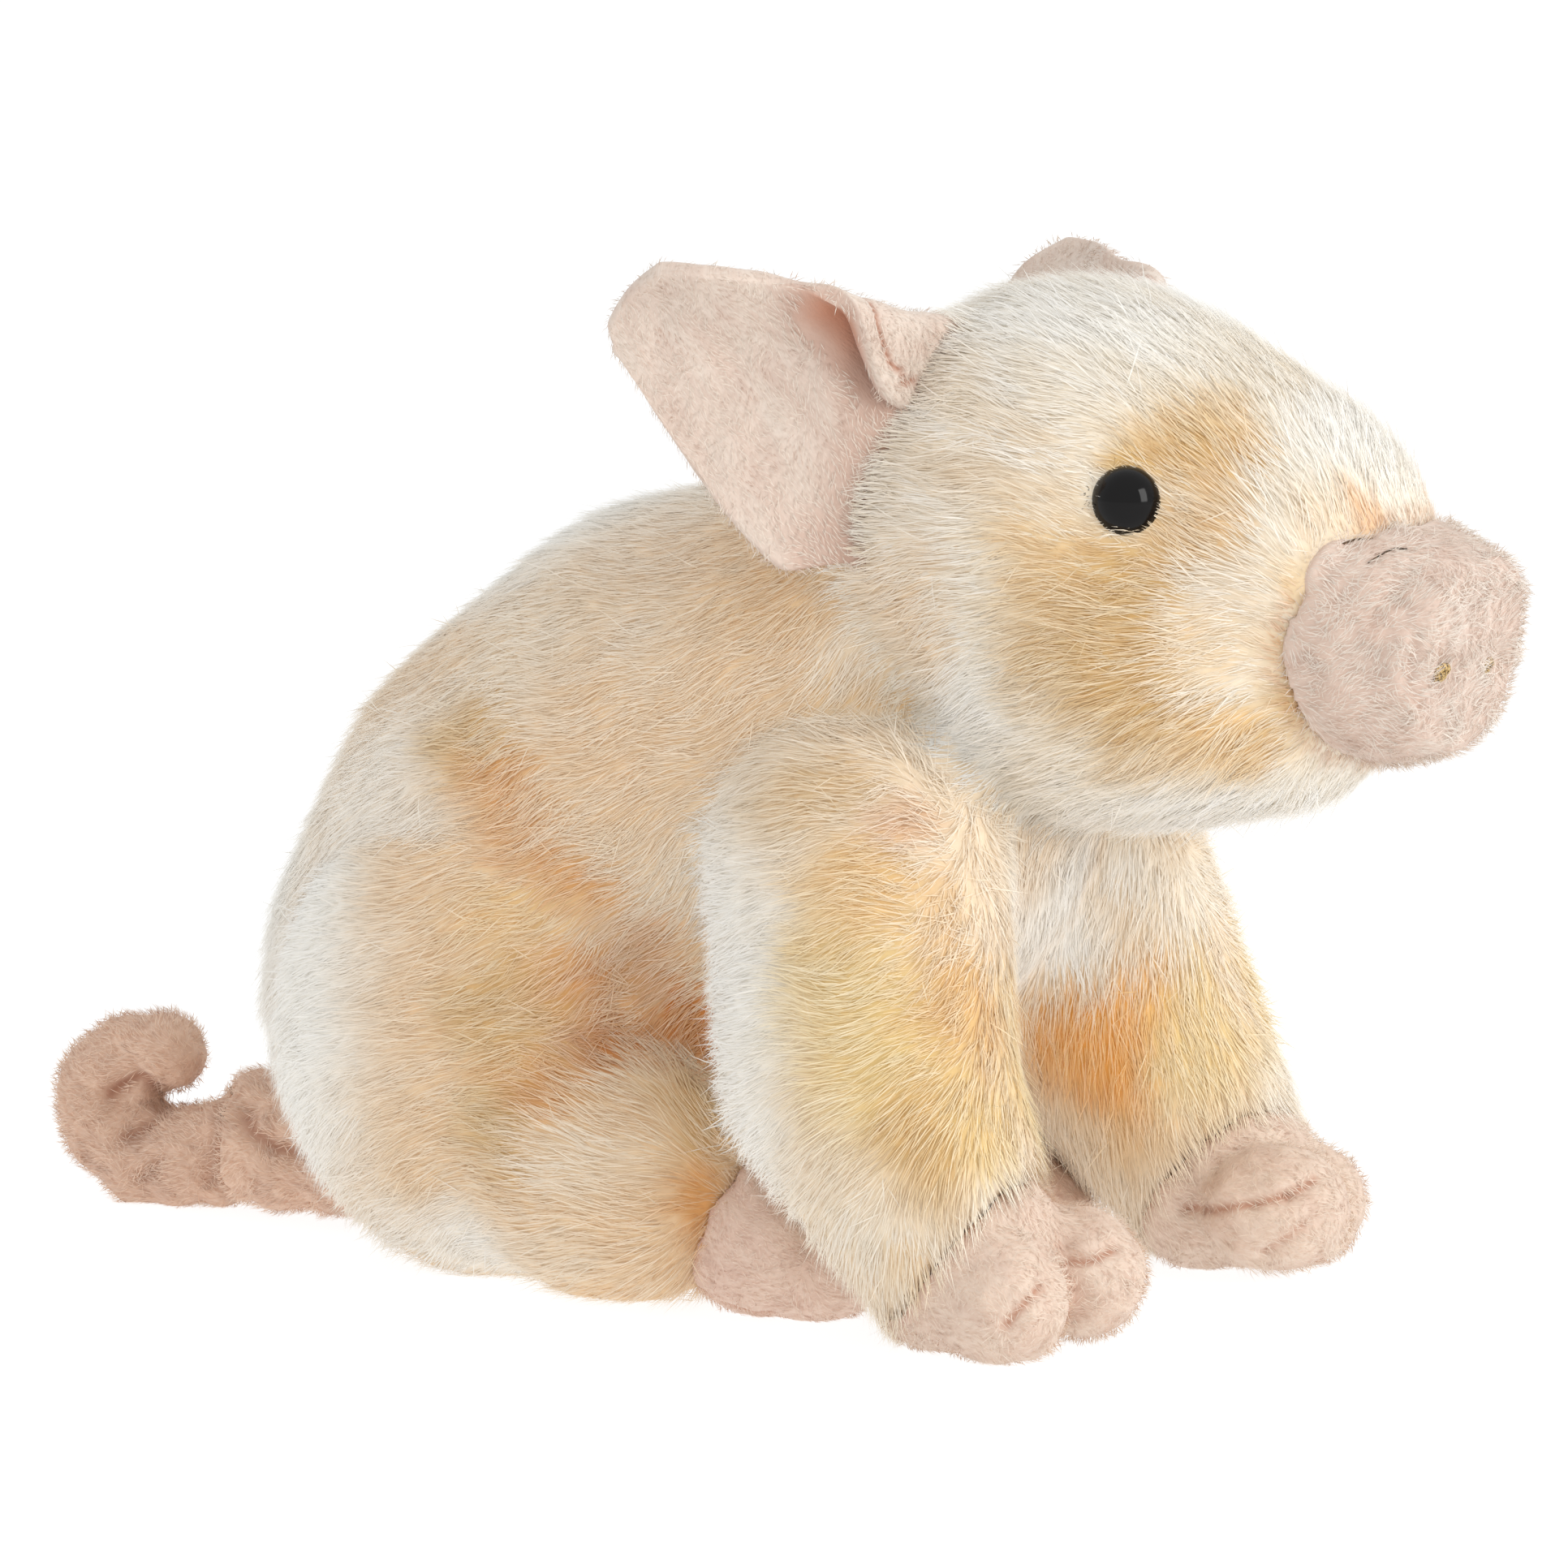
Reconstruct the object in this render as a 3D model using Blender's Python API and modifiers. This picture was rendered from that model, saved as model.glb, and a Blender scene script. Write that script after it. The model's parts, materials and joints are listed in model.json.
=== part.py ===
"""A sitting plush piglet, modelled as its sewn and stuffed pieces.

The piglet faces +X, its left side is +Y and it sits on the plane z = 0. The round surfaces are those of the
tips of the pile, so that the fabric underneath lies a pile's depth inside the furry pieces.

Sizes and places are in millimetres, angles in degrees. A size of three numbers is a piece's half sizes along
X, Y and Z, and a place off the middle line is given for the left side.
"""

import math

import bmesh
import bpy
from mathutils import Euler, Matrix, Vector

MM = 0.001
SEAM = 0.35  # clearance that two pieces keep where they are sewn together
SIDES = {"left": 1, "right": -1}

# Finishes: linear red, green and blue, and the roughness
FINISHES = {
    "long_pile": ((0.86, 0.72, 0.52), 0.85),
    "snout_velour": ((0.76, 0.60, 0.52), 0.9),
    "ear_velour": ((0.76, 0.58, 0.51), 0.9),
    "foot_velour": ((0.68, 0.48, 0.38), 0.9),
    "tail_velour": ((0.56, 0.37, 0.29), 0.9),
    "black_plastic": ((0.01, 0.01, 0.012), 0.08),
    "gold_thread": ((0.36, 0.25, 0.10), 0.5),
}

# The body leans forward from the rump, which sits on the floor
RUMP = (57, 47, 54)
RUMP_AT = (-22, 0, 46)
FLANK = (54, 46, 52)
FLANK_AT = (-13, 0, 68)
LOIN = (50, 44, 53)
LOIN_AT = (9, 0, 85.5)
BELLY = (40, 38, 36)
BELLY_AT = (26, 0, 50)
CHEST = (44, 41, 50)
CHEST_AT = (44, 0, 92)
NECK = (36, 37, 32)
NECK_AT = (52, 0, 115)

# The head, with a straight line from the forehead to the snout
SKULL = (45, 43, 42)
SKULL_AT = (86, 0, 136)
BRIDGE = (31, 31, 29)
BRIDGE_AT = (120, 0, 132)
JOWL = (42, 41, 33)
JOWL_AT = (98, 0, 115)
MUZZLE = (21, 27, 26)
MUZZLE_AT = (126, 0, 113)
EYE_RADIUS = 6.0
EYE_AT = (111, 32, 141)

# The snout is a drum along X, half hidden in the muzzle, with its nose disc tilted to face down a little
SNOUT_FROM = (122.0, 0, 120.0)
SNOUT_TO = (160.0, 0, 115.3)
SNOUT_ROOT = (24.5, 22.3)  # half width and half height
SNOUT_DISC = (19.5, 17.8)
SNOUT_OUTLINE = 2.5  # power of its outline: 2 is an oval, and more is boxier
SNOUT_TILT = 12.0
SNOUT_SIDES = 28
SNOUT_RINGS = (  # how far along the drum, and the share of its full width there
    (0.00, 0.92),
    (0.20, 1.00),
    (0.40, 1.03),
    (0.58, 1.05),
    (0.74, 1.03),
    (0.88, 0.98),
    (0.97, 0.91),
    (1.00, 0.80),
    (0.98, 0.40),
)
NOSTRIL_RADIUS = 1.9
NOSTRILS_AT = {"left": (7.5, -2.0), "right": (-12.0, -1.2)}  # left of and over the middle of the nose disc

# The ears lie back and aren't alike: this is the way that each one's length runs from its root
EAR_ALONG = {"left": (-0.66, 0.60, 0.38), "right": (-0.71, -0.585, 0.40)}
EAR_ACROSS = (0.6, 0, 0.8)
EAR_ROOT = (71, 34, 149)
EAR_LENGTH = 55.0
EAR_SUNK = 0.08  # share of the length that reaches into the head
EAR_LOW = (22.0, 26.3)  # width below the middle line, at the root and where it is widest
EAR_HIGH = 21.0  # width above the middle line
EAR_TUCK = 4.2  # how much less of that lies below the fold at the root
EAR_FLAP = 15.5  # width of the sheet beyond the fold, at the root
EAR_THICKNESS = 4.0
EAR_CUP = 5.0  # depth of the hollow
EAR_FOLD_RADIUS = 2.8
EAR_FOLD_TURN = 176.0
EAR_FOLD_END = 0.62  # share of the length where the front edge lies flat again
EAR_LEAN = 37.0  # how far the root follows the head round, in degrees
EAR_COLUMNS = ((0.0, 0.4), (0.4, 0.8), (0.8, 1.0))  # shares for the flat, the fold and the flap

# The forelegs stand in front, with their toes turned out
SHOULDER = (28, 25, 28)
SHOULDER_AT = (61, 32, 77)
KNEE = (27, 24, 26)
KNEE_AT = (69, 43, 45)
ANKLE = (20, 20, 19)
ANKLE_AT = (86, 45, 20)
CUFF_AT = (84, 45, 8.5)  # the seam where the pile of the leg ends in front of the foot
CUFF_WAY = (0.8, -0.16, -0.6)
HOOF = (18.5, 18, 17)
HOOF_AT = (88, 45, 16)
TOES = (((98.5, 50.5, 11.0), (15, 11.5, 12)), ((106, 35, 13.0), (13, 10, 11)))
FOREFOOT_TURN = 33

# The hind legs are folded at the flanks, with the feet pointing forward
THIGH = (44, 26.5, 45)
THIGH_AT = (-16, 29, 43)
THIGH_PITCH = 15
SHANK = (31, 20.5, 24)
SHANK_AT = (15, 38, 22.5)
HEEL = (17, 12, 14)
HEEL_AT = (44, 38, 14)
SOLE = (16, 11, 10)
SOLE_AT = (52, 34, 9)
HINDFOOT_TURN = 10

# The tail lies on the floor behind the rump and curls up at its end: the points of its middle line and its
# radius at each
TAIL = (
    ((-62, 0, 14.0), 12.5),
    ((-85, 0, 14.2), 12.6),
    ((-94, 0, 10.6), 7.6),
    ((-99, 0, 9.4), 9.2),
    ((-112, 0, 8.4), 9.3),
    ((-120.5, 0, 12.8), 9.2),
    ((-123, 0, 20.6), 8.8),
    ((-116.5, 0, 26.0), 8.0),
    ((-108.5, 0, 28.2), 7.8),
)
TAIL_NODES = {"tail_root": (0, 2), "tail_curl": (2, 6), "tail_tip": (6, 8)}

FLOOR_BLOCK = (600, 400, 100)
CUFF_BLOCK = 120


def clear_scene():
    """Starts from an empty scene, whatever the file holds."""
    for obj in list(bpy.data.objects):
        bpy.data.objects.remove(obj, do_unlink=True)


def collection(name):
    made = bpy.data.collections.new(name)
    bpy.context.scene.collection.children.link(made)
    return made


def material(name):
    colour, roughness = FINISHES[name]
    made = bpy.data.materials.new(name)
    made.use_nodes = True
    shader = made.node_tree.nodes["Principled BSDF"]
    shader.inputs["Base Color"].default_value = (*colour, 1)
    shader.inputs["Roughness"].default_value = roughness
    shader.inputs["Metallic"].default_value = 0
    return made


def side_of(point, side):
    """A point given for the left side, on this side."""
    return (point[0], point[1] * SIDES[side], point[2])


def smooth_step(low, high, value):
    share = min(1.0, max(0.0, (value - low) / (high - low)))
    return share * share * (3 - 2 * share)


def add_ball(shape, centre, radii, turn_z=0.0, turn_y=0.0, sides=28):
    """Adds an ellipsoid to a bmesh."""
    place = Matrix.Translation(Vector(centre) * MM)
    turned = Euler((0, math.radians(turn_y), math.radians(turn_z))).to_matrix().to_4x4()
    scaled = Matrix.Diagonal((*[radius * MM for radius in radii], 1))
    bmesh.ops.create_uvsphere(
        shape,
        u_segments=sides,
        v_segments=sides // 2,
        radius=1,
        matrix=place @ turned @ scaled,
    )


def add_limb(shape, start, end, radii_start, radii_end, steps=9):
    """Adds a tapered limb, as balls close enough together to merge."""
    for step in range(steps):
        share = step / (steps - 1)
        centre = Vector(start).lerp(Vector(end), share)
        radii = Vector(radii_start).lerp(Vector(radii_end), share)
        add_ball(shape, centre, radii, sides=20)


def new_object(name, shape, finish, group):
    mesh = bpy.data.meshes.new(name)
    shape.to_mesh(mesh)
    shape.free()
    obj = bpy.data.objects.new(name, mesh)
    obj.data.materials.append(finish)
    group.objects.link(obj)
    return obj


def freeze(obj):
    """Applies the object's modifiers to its mesh."""
    bpy.context.view_layer.update()
    graph = bpy.context.evaluated_depsgraph_get()
    mesh = bpy.data.meshes.new_from_object(obj.evaluated_get(graph))
    obj.modifiers.clear()
    old = obj.data
    obj.data = mesh
    mesh.name = obj.name
    bpy.data.meshes.remove(old)


def closed_surfaces(shape):
    """The vertices of each closed surface of a bmesh, from the smallest to the largest."""
    surfaces = []
    seen = set()
    for first in shape.verts:
        if first in seen:
            continue
        surface = []
        waiting = [first]
        seen.add(first)
        while waiting:
            vert = waiting.pop()
            surface.append(vert)
            for edge in vert.link_edges:
                other = edge.other_vert(vert)
                if other not in seen:
                    seen.add(other)
                    waiting.append(other)
        surfaces.append(surface)
    return sorted(surfaces, key=len)


def keep_largest(obj):
    """Welds what nearly meets, and drops every closed surface but the largest."""
    shape = bmesh.new()
    shape.from_mesh(obj.data)
    bmesh.ops.remove_doubles(shape, verts=shape.verts, dist=0.02 * MM)
    bmesh.ops.triangulate(shape, faces=shape.faces)
    for scrap in closed_surfaces(shape)[:-1]:
        bmesh.ops.delete(shape, geom=scrap, context="VERTS")
    shape.to_mesh(obj.data)
    shape.free()


def stuff(obj, voxel, smoothing, triangles):
    """Merges the balls of a piece into one stuffed skin of about this many triangles."""
    merge = obj.modifiers.new("merge", "REMESH")
    merge.mode = "VOXEL"
    merge.voxel_size = voxel * MM
    soften = obj.modifiers.new("soften", "SMOOTH")
    soften.factor = 0.5
    soften.iterations = smoothing
    freeze(obj)
    fewer = obj.modifiers.new("fewer", "DECIMATE")
    fewer.ratio = min(1.0, triangles / (2 * len(obj.data.polygons)))
    fewer.use_collapse_triangulate = True
    freeze(obj)
    return obj


def cut(obj, cutter):
    boolean = obj.modifiers.new("cut", "BOOLEAN")
    boolean.operation = "DIFFERENCE"
    boolean.solver = "EXACT"
    boolean.object = cutter
    freeze(obj)


def trim(obj, neighbours, floor):
    """Cuts the piece clear of its neighbours and level with the floor."""
    for neighbour in neighbours:
        shape = bmesh.new()
        shape.from_mesh(neighbour.data)
        shape.normal_update()
        for vert in shape.verts:
            vert.co += vert.normal * SEAM * MM
        grown = new_object("grown", shape, neighbour.data.materials[0], bpy.context.scene.collection)
        cut(obj, grown)
        bpy.data.objects.remove(grown, do_unlink=True)
    cut(obj, floor)
    keep_largest(obj)
    obj.data.shade_smooth()
    obj.data.set_sharp_from_angle(angle=math.radians(45))


def make_floor(group, finish):
    """A block under the floor level, which leaves the flats that the toy sits on."""
    size = Vector(FLOOR_BLOCK) * MM
    shape = bmesh.new()
    place = Matrix.Translation((0, 0, -size.z / 2)) @ Matrix.Diagonal((*size, 1))
    bmesh.ops.create_cube(shape, size=1, matrix=place)
    floor = new_object("floor_cutter", shape, finish, group)
    floor.hide_render = True
    floor.display_type = "WIRE"
    return floor


def make_torso(finish, group):
    shape = bmesh.new()
    add_limb(shape, RUMP_AT, FLANK_AT, RUMP, FLANK)
    add_limb(shape, FLANK_AT, LOIN_AT, FLANK, LOIN)
    add_limb(shape, LOIN_AT, NECK_AT, LOIN, NECK)
    add_limb(shape, LOIN_AT, CHEST_AT, LOIN, CHEST)
    add_ball(shape, BELLY_AT, BELLY)
    torso = new_object("torso", shape, finish, group)
    return stuff(torso, voxel=2.6, smoothing=10, triangles=1600)


def make_head(finish, group):
    shape = bmesh.new()
    add_limb(shape, SKULL_AT, BRIDGE_AT, SKULL, BRIDGE)
    add_limb(shape, SKULL_AT, JOWL_AT, SKULL, JOWL)
    add_limb(shape, JOWL_AT, MUZZLE_AT, JOWL, MUZZLE)
    head = new_object("head", shape, finish, group)
    return stuff(head, voxel=2.4, smoothing=8, triangles=1500)


def snout_place(along, across=0.0, over=0.0):
    """A point of the snout in metres: along runs from 0 at its root to 1 at the nose disc."""
    tilt = Matrix.Rotation(math.radians(SNOUT_TILT * along * along), 3, "Y")
    centre = Vector(SNOUT_FROM).lerp(Vector(SNOUT_TO), along)
    centre.z = SNOUT_FROM[2] + (SNOUT_TO[2] - SNOUT_FROM[2]) * along * along
    return (centre + tilt @ Vector((0, across, over))) * MM


def boxy(share):
    """Moves a share of a circle's half width out to the snout's outline."""
    return math.copysign(abs(share) ** (2 / SNOUT_OUTLINE), share)


def make_snout(finish, group):
    """An oval drum with a soft rim and a nose disc that is slightly dished."""
    root = Vector(SNOUT_ROOT)
    disc = Vector(SNOUT_DISC)
    shape = bmesh.new()
    previous = []
    for along, share in SNOUT_RINGS:
        half = root.lerp(disc, along) * share
        ring = bmesh.ops.create_circle(shape, segments=SNOUT_SIDES, radius=1)["verts"]
        for vert in ring:
            vert.co = snout_place(along, boxy(vert.co.x) * half.x, boxy(vert.co.y) * half.y)
        edges = list({edge for vert in ring for edge in vert.link_edges})
        if previous:
            bmesh.ops.bridge_loops(shape, edges=previous + edges)
        previous = edges
    bmesh.ops.holes_fill(shape, edges=shape.edges)
    bmesh.ops.recalc_face_normals(shape, faces=shape.faces)
    return new_object("snout", shape, finish, group)


def ear_low(s):
    """How far the sheet reaches below its middle line, at the share s of its length."""
    root, widest = EAR_LOW
    width = root + (widest - root) * smooth_step(0, 0.2, s)
    return width * (1 - 0.87 * max(0.0, (s - 0.2) / 0.8) ** 1.35)


def ear_high(s, t):
    """How far a point lies above the middle line along the sheet, and where the fold starts there."""
    fold_at = EAR_HIGH * math.sqrt(1 - max(0.0, s / 1.14) ** 3.9) - EAR_TUCK * (1 - smooth_step(0.15, 0.6, s))
    turn = math.radians(EAR_FOLD_TURN) * (1 - smooth_step(0.2, EAR_FOLD_END, s))
    flap = EAR_FLAP * (1 - smooth_step(0, 0.45, s))
    lengths = (fold_at, turn * EAR_FOLD_RADIUS, flap)
    shares = (min(max((t - low) / (high - low), 0.0), 1.0) for low, high in EAR_COLUMNS)
    folded = sum(length * share for length, share in zip(lengths, shares))
    flat = smooth_step(0.4, EAR_FOLD_END, s)
    return folded * (1 - flat) + sum(lengths) * t * flat, fold_at, turn


def ear_point(s, t, side):
    """A point of the ear's middle sheet: s runs from root to tip, t from the lower to the front edge."""
    along = Vector(EAR_ALONG[side]).normalized()
    across = Vector(EAR_ACROSS)
    across = (across - along * across.dot(along)).normalized()
    front = along.cross(across) * SIDES[side]
    reach = EAR_LENGTH * s * (1 - 0.05 * t * t * s)
    if t < 0:
        width = ear_low(s) * t
        depth = EAR_CUP * (width / EAR_LOW[0]) ** 2
    else:
        width, fold_at, fullest = ear_high(s, t)
        hollow = EAR_CUP * (1 - 0.4 * s) * smooth_step(0, 0.5, s)
        depth = hollow * min(1.0, width / fold_at) ** 2
        beyond = max(0.0, width - fold_at)
        turn = min(beyond / EAR_FOLD_RADIUS, fullest)
        flap = beyond - turn * EAR_FOLD_RADIUS
        width += EAR_FOLD_RADIUS * math.sin(turn) + flap * math.cos(turn) - beyond
        depth += EAR_FOLD_RADIUS * (1 - math.cos(turn)) + flap * math.sin(turn)
        lean = math.radians(EAR_LEAN) * (1 - smooth_step(0, 0.5, s)) * smooth_step(0, 0.3, t)
        width, depth = (
            width * math.cos(lean) + depth * math.sin(lean),
            depth * math.cos(lean) - width * math.sin(lean),
        )
    root = Vector(side_of(EAR_ROOT, side))
    return (root + along * reach + across * width + front * depth) * MM


def make_ear(side, finish, group):
    """A cupped sheet of two layers of velour, with its front edge folded over at the root."""
    shape = bmesh.new()
    bmesh.ops.create_grid(shape, x_segments=10, y_segments=20, size=1)
    for vert in shape.verts:
        s = (vert.co.x + 1) / 2 * (1 + EAR_SUNK) - EAR_SUNK
        vert.co = ear_point(s, vert.co.y, side)
    ear = new_object(f"ear_{side}", shape, finish, group)
    wall = ear.modifiers.new("thickness", "SOLIDIFY")
    wall.thickness = EAR_THICKNESS * MM
    wall.offset = 0
    freeze(ear)
    return ear


def make_eye(side, finish, group):
    shape = bmesh.new()
    add_ball(shape, side_of(EYE_AT, side), (EYE_RADIUS,) * 3, sides=16)
    return new_object(f"eye_{side}", shape, finish, group)


def make_nostril(side, finish, group):
    """A knot of thread on the nose disc."""
    left, over = NOSTRILS_AT[side]
    shape = bmesh.new()
    at = snout_place(1, left, over) / MM
    add_ball(shape, at, (NOSTRIL_RADIUS,) * 3, sides=10)
    return new_object(f"nostril_{side}", shape, finish, group)


def make_foreleg(side, finish, group):
    shoulder, knee, ankle = (side_of(at, side) for at in (SHOULDER_AT, KNEE_AT, ANKLE_AT))
    shape = bmesh.new()
    add_limb(shape, shoulder, knee, SHOULDER, KNEE)
    add_limb(shape, knee, ankle, KNEE, ANKLE)
    leg = new_object(f"foreleg_{side}", shape, finish, group)
    stuff(leg, voxel=2.0, smoothing=6, triangles=500)
    turned = Vector(side_of(CUFF_WAY, side)).to_track_quat("Z", "Y").to_matrix().to_4x4()
    block = bmesh.new()
    place = Matrix.Translation(Vector(side_of(CUFF_AT, side)) * MM) @ turned
    bmesh.ops.create_cube(block, size=CUFF_BLOCK * MM, matrix=place @ Matrix.Translation((0, 0, CUFF_BLOCK * MM / 2)))
    beyond = new_object("beyond_cuff", block, finish, bpy.context.scene.collection)
    cut(leg, beyond)
    bpy.data.objects.remove(beyond, do_unlink=True)
    return leg


def make_forefoot(side, finish, group):
    turn = FOREFOOT_TURN * SIDES[side]
    shape = bmesh.new()
    add_ball(shape, side_of(HOOF_AT, side), HOOF, turn_z=turn)
    for toe_at, toe in TOES:
        add_ball(shape, side_of(toe_at, side), toe, turn_z=turn)
    foot = new_object(f"forefoot_{side}", shape, finish, group)
    return stuff(foot, voxel=1.6, smoothing=3, triangles=360)


def make_thigh(side, finish, group):
    shape = bmesh.new()
    add_ball(shape, side_of(THIGH_AT, side), THIGH, turn_y=THIGH_PITCH)
    thigh = new_object(f"thigh_{side}", shape, finish, group)
    return stuff(thigh, voxel=2.0, smoothing=4, triangles=450)


def make_shank(side, finish, group):
    shape = bmesh.new()
    add_ball(shape, side_of(SHANK_AT, side), SHANK)
    shank = new_object(f"shank_{side}", shape, finish, group)
    return stuff(shank, voxel=1.8, smoothing=3, triangles=320)


def make_hindfoot(side, finish, group):
    turn = HINDFOOT_TURN * SIDES[side]
    shape = bmesh.new()
    add_ball(shape, side_of(HEEL_AT, side), HEEL, turn_z=turn)
    add_ball(shape, side_of(SOLE_AT, side), SOLE, turn_z=turn)
    foot = new_object(f"hindfoot_{side}", shape, finish, group)
    return stuff(foot, voxel=1.6, smoothing=3, triangles=320)


def make_tail(name, finish, group):
    first, last = TAIL_NODES[name]
    shape = bmesh.new()
    for (start, thick), (end, thin) in zip(TAIL[first:last], TAIL[first + 1 : last + 1]):
        add_limb(shape, start, end, (thick,) * 3, (thin,) * 3, steps=5)
    tail = new_object(name, shape, finish, group)
    return stuff(tail, voxel=1.4, smoothing=2, triangles=300)


def stand_on_origin(group):
    """Carries every piece so that the middle of the toy's underside is the origin."""
    corners = [obj.matrix_world @ vert.co for obj in group.objects for vert in obj.data.vertices]
    low = [min(corner[axis] for corner in corners) for axis in range(3)]
    high = [max(corner[axis] for corner in corners) for axis in range(3)]
    carrier = bpy.data.objects.new("carrier", None)
    carrier.location = (-(low[0] + high[0]) / 2, -(low[1] + high[1]) / 2, -low[2])
    for piece in group.objects:
        piece.parent = carrier
    group.objects.link(carrier)


def main():
    clear_scene()
    group = collection("plush_piglet")
    finish = {name: material(name) for name in FINISHES}
    fur = finish["long_pile"]
    floor = make_floor(collection("cutters"), fur)

    torso = make_torso(fur, group)
    head = make_head(fur, group)
    snout = make_snout(finish["snout_velour"], group)
    trim(torso, [], floor)
    trim(head, [torso], floor)
    trim(snout, [head], floor)
    for side in SIDES:
        trim(make_ear(side, finish["ear_velour"], group), [head, torso], floor)
        trim(make_eye(side, finish["black_plastic"], group), [head], floor)
        trim(make_nostril(side, finish["gold_thread"], group), [snout], floor)
        foreleg = make_foreleg(side, fur, group)
        trim(foreleg, [torso, head], floor)
        forefoot = make_forefoot(side, finish["foot_velour"], group)
        trim(forefoot, [foreleg], floor)
        thigh = make_thigh(side, fur, group)
        trim(thigh, [torso, foreleg], floor)
        shank = make_shank(side, fur, group)
        trim(shank, [torso, thigh, foreleg], floor)
        hindfoot = make_hindfoot(side, finish["foot_velour"], group)
        trim(hindfoot, [torso, shank, thigh, foreleg, forefoot], floor)
    before = torso
    for name in TAIL_NODES:
        tail = make_tail(name, finish["tail_velour"], group)
        trim(tail, [before], floor)
        before = tail
    stand_on_origin(group)


main()
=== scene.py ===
"""Looks of a stuffed toy piglet that sits on its haunches with its forelegs propped in front.

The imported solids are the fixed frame. The furry solids reach out to the tips of the pile, so one sewn
skin lies inside them by the depth of the pile and carries the pile as joined tufts. The snout, ears,
feet and tail are brushed velour with a short nap, sewn folds and stitches. Domed plastic eyes, thread
knots for nostrils and a plain white studio finish the scene.

A place on the toy is given in millimetres as (x, out, z): x the way the snout points from the middle of
the toy, out from the plane between its two sides, and z over the floor. Such a place stands for both
sides of the toy, unless it is kept to one side.
"""

from __future__ import annotations

import json
import logging
import math
from collections.abc import Callable
from dataclasses import dataclass, field
from enum import Enum

import bmesh
import bpy
import numpy as np
from mathutils import Matrix, Vector
from mathutils.bvhtree import BVHTree

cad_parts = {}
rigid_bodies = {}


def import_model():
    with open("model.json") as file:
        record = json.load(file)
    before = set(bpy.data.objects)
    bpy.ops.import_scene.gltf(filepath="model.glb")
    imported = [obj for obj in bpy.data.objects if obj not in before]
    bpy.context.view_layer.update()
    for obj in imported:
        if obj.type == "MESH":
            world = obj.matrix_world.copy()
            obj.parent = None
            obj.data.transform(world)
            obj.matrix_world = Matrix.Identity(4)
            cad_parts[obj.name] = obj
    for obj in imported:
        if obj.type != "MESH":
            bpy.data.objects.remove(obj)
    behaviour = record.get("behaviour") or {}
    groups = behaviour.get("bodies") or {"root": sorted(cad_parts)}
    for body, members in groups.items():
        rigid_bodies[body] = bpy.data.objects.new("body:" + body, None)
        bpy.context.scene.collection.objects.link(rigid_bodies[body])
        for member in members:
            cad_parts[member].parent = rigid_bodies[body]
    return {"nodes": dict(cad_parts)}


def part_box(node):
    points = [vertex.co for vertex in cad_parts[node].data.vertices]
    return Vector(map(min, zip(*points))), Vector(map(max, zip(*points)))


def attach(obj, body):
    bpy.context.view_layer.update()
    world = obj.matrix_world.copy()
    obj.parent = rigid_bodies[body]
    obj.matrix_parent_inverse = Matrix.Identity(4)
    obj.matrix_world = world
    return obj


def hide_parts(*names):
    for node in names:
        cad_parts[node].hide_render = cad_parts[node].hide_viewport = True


LOG = logging.getLogger("piglet")

MM = 0.001
BODY = "root"
BAKE_MAP = "OFBake"
BAKE_PATCH = 0.003
IMAGE_SIDE = 1932
FLOOR_CLEARANCE = 0.3 * MM

Triple = tuple[float, float, float]


class Slot(Enum):
    """The record's material slots."""

    PILE = "long_pile"
    SNOUT = "snout_velour"
    EAR = "ear_velour"
    FOOT = "foot_velour"
    TAIL = "tail_velour"
    PLASTIC = "black_plastic"
    THREAD = "gold_thread"


class Side(Enum):
    """The toy's own sides, as the sign of y."""

    BOTH = 0
    LEFT = 1
    RIGHT = -1


class Part(Enum):
    """The sewn parts with long pile, by the solids that each one stands for."""

    HEAD = ("head",)
    TORSO = ("torso",)
    FORELEG = ("foreleg_left", "foreleg_right")
    HAUNCH = ("thigh_left", "thigh_right", "shank_left", "shank_right")


def tone(red: float, green: float, blue: float) -> Triple:
    """Turns a display colour from 0 to 255 into the linear colour that shaders use."""
    shares = np.array([red, green, blue]) / 255
    linear = np.where(shares <= 0.04045, shares / 12.92, ((shares + 0.055) / 1.055) ** 2.4)
    return tuple(float(share) for share in linear)


WHITE = tone(249, 246, 240)
PALE = tone(246, 237, 222)
CREAM = tone(242, 227, 205)
BEIGE = tone(240, 217, 186)
APRICOT = tone(233, 200, 148)
GOLD = tone(226, 196, 146)
YELLOW = tone(238, 216, 166)
ORANGE = tone(232, 182, 120)
SAND = tone(238, 210, 164)
AMBER = tone(244, 186, 96)
# A deep rust tone. It lays painted shade in creases and recesses and beside the snout's seam, over some
# sprayed colour.
RUST_SHADE = tone(216, 156, 98)


def smooth_step(low: float, high: float, value: np.ndarray) -> np.ndarray:
    """Rises smoothly from 0 at low to 1 at high."""
    share = np.clip((value - low) / (high - low), 0, 1)
    return share * share * (3 - 2 * share)


def unit(vectors: np.ndarray) -> np.ndarray:
    """Scales each row to length one."""
    return vectors / np.maximum(np.linalg.norm(vectors, axis=-1, keepdims=True), 1e-12)


def ripple(points: np.ndarray, wavelength: float, seed: int, waves: int = 9) -> np.ndarray:
    """A smooth random field over space, mostly between -1 and 1.

    Args:
        points: Places in metres, one a row.
        wavelength: Usual distance from crest to crest, in metres.
        seed: Picks the field.
        waves: How many plane waves are summed.

    Returns:
        One value for each place.
    """
    rng = np.random.default_rng(seed)
    ways = unit(rng.normal(size=(waves, 3)))
    numbers = 2 * math.pi / (wavelength * rng.uniform(0.7, 1.5, waves))
    phases = rng.uniform(0, 2 * math.pi, waves)
    return np.sin(points @ (ways * numbers[:, None]).T + phases).sum(axis=1) / math.sqrt(waves)


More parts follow.
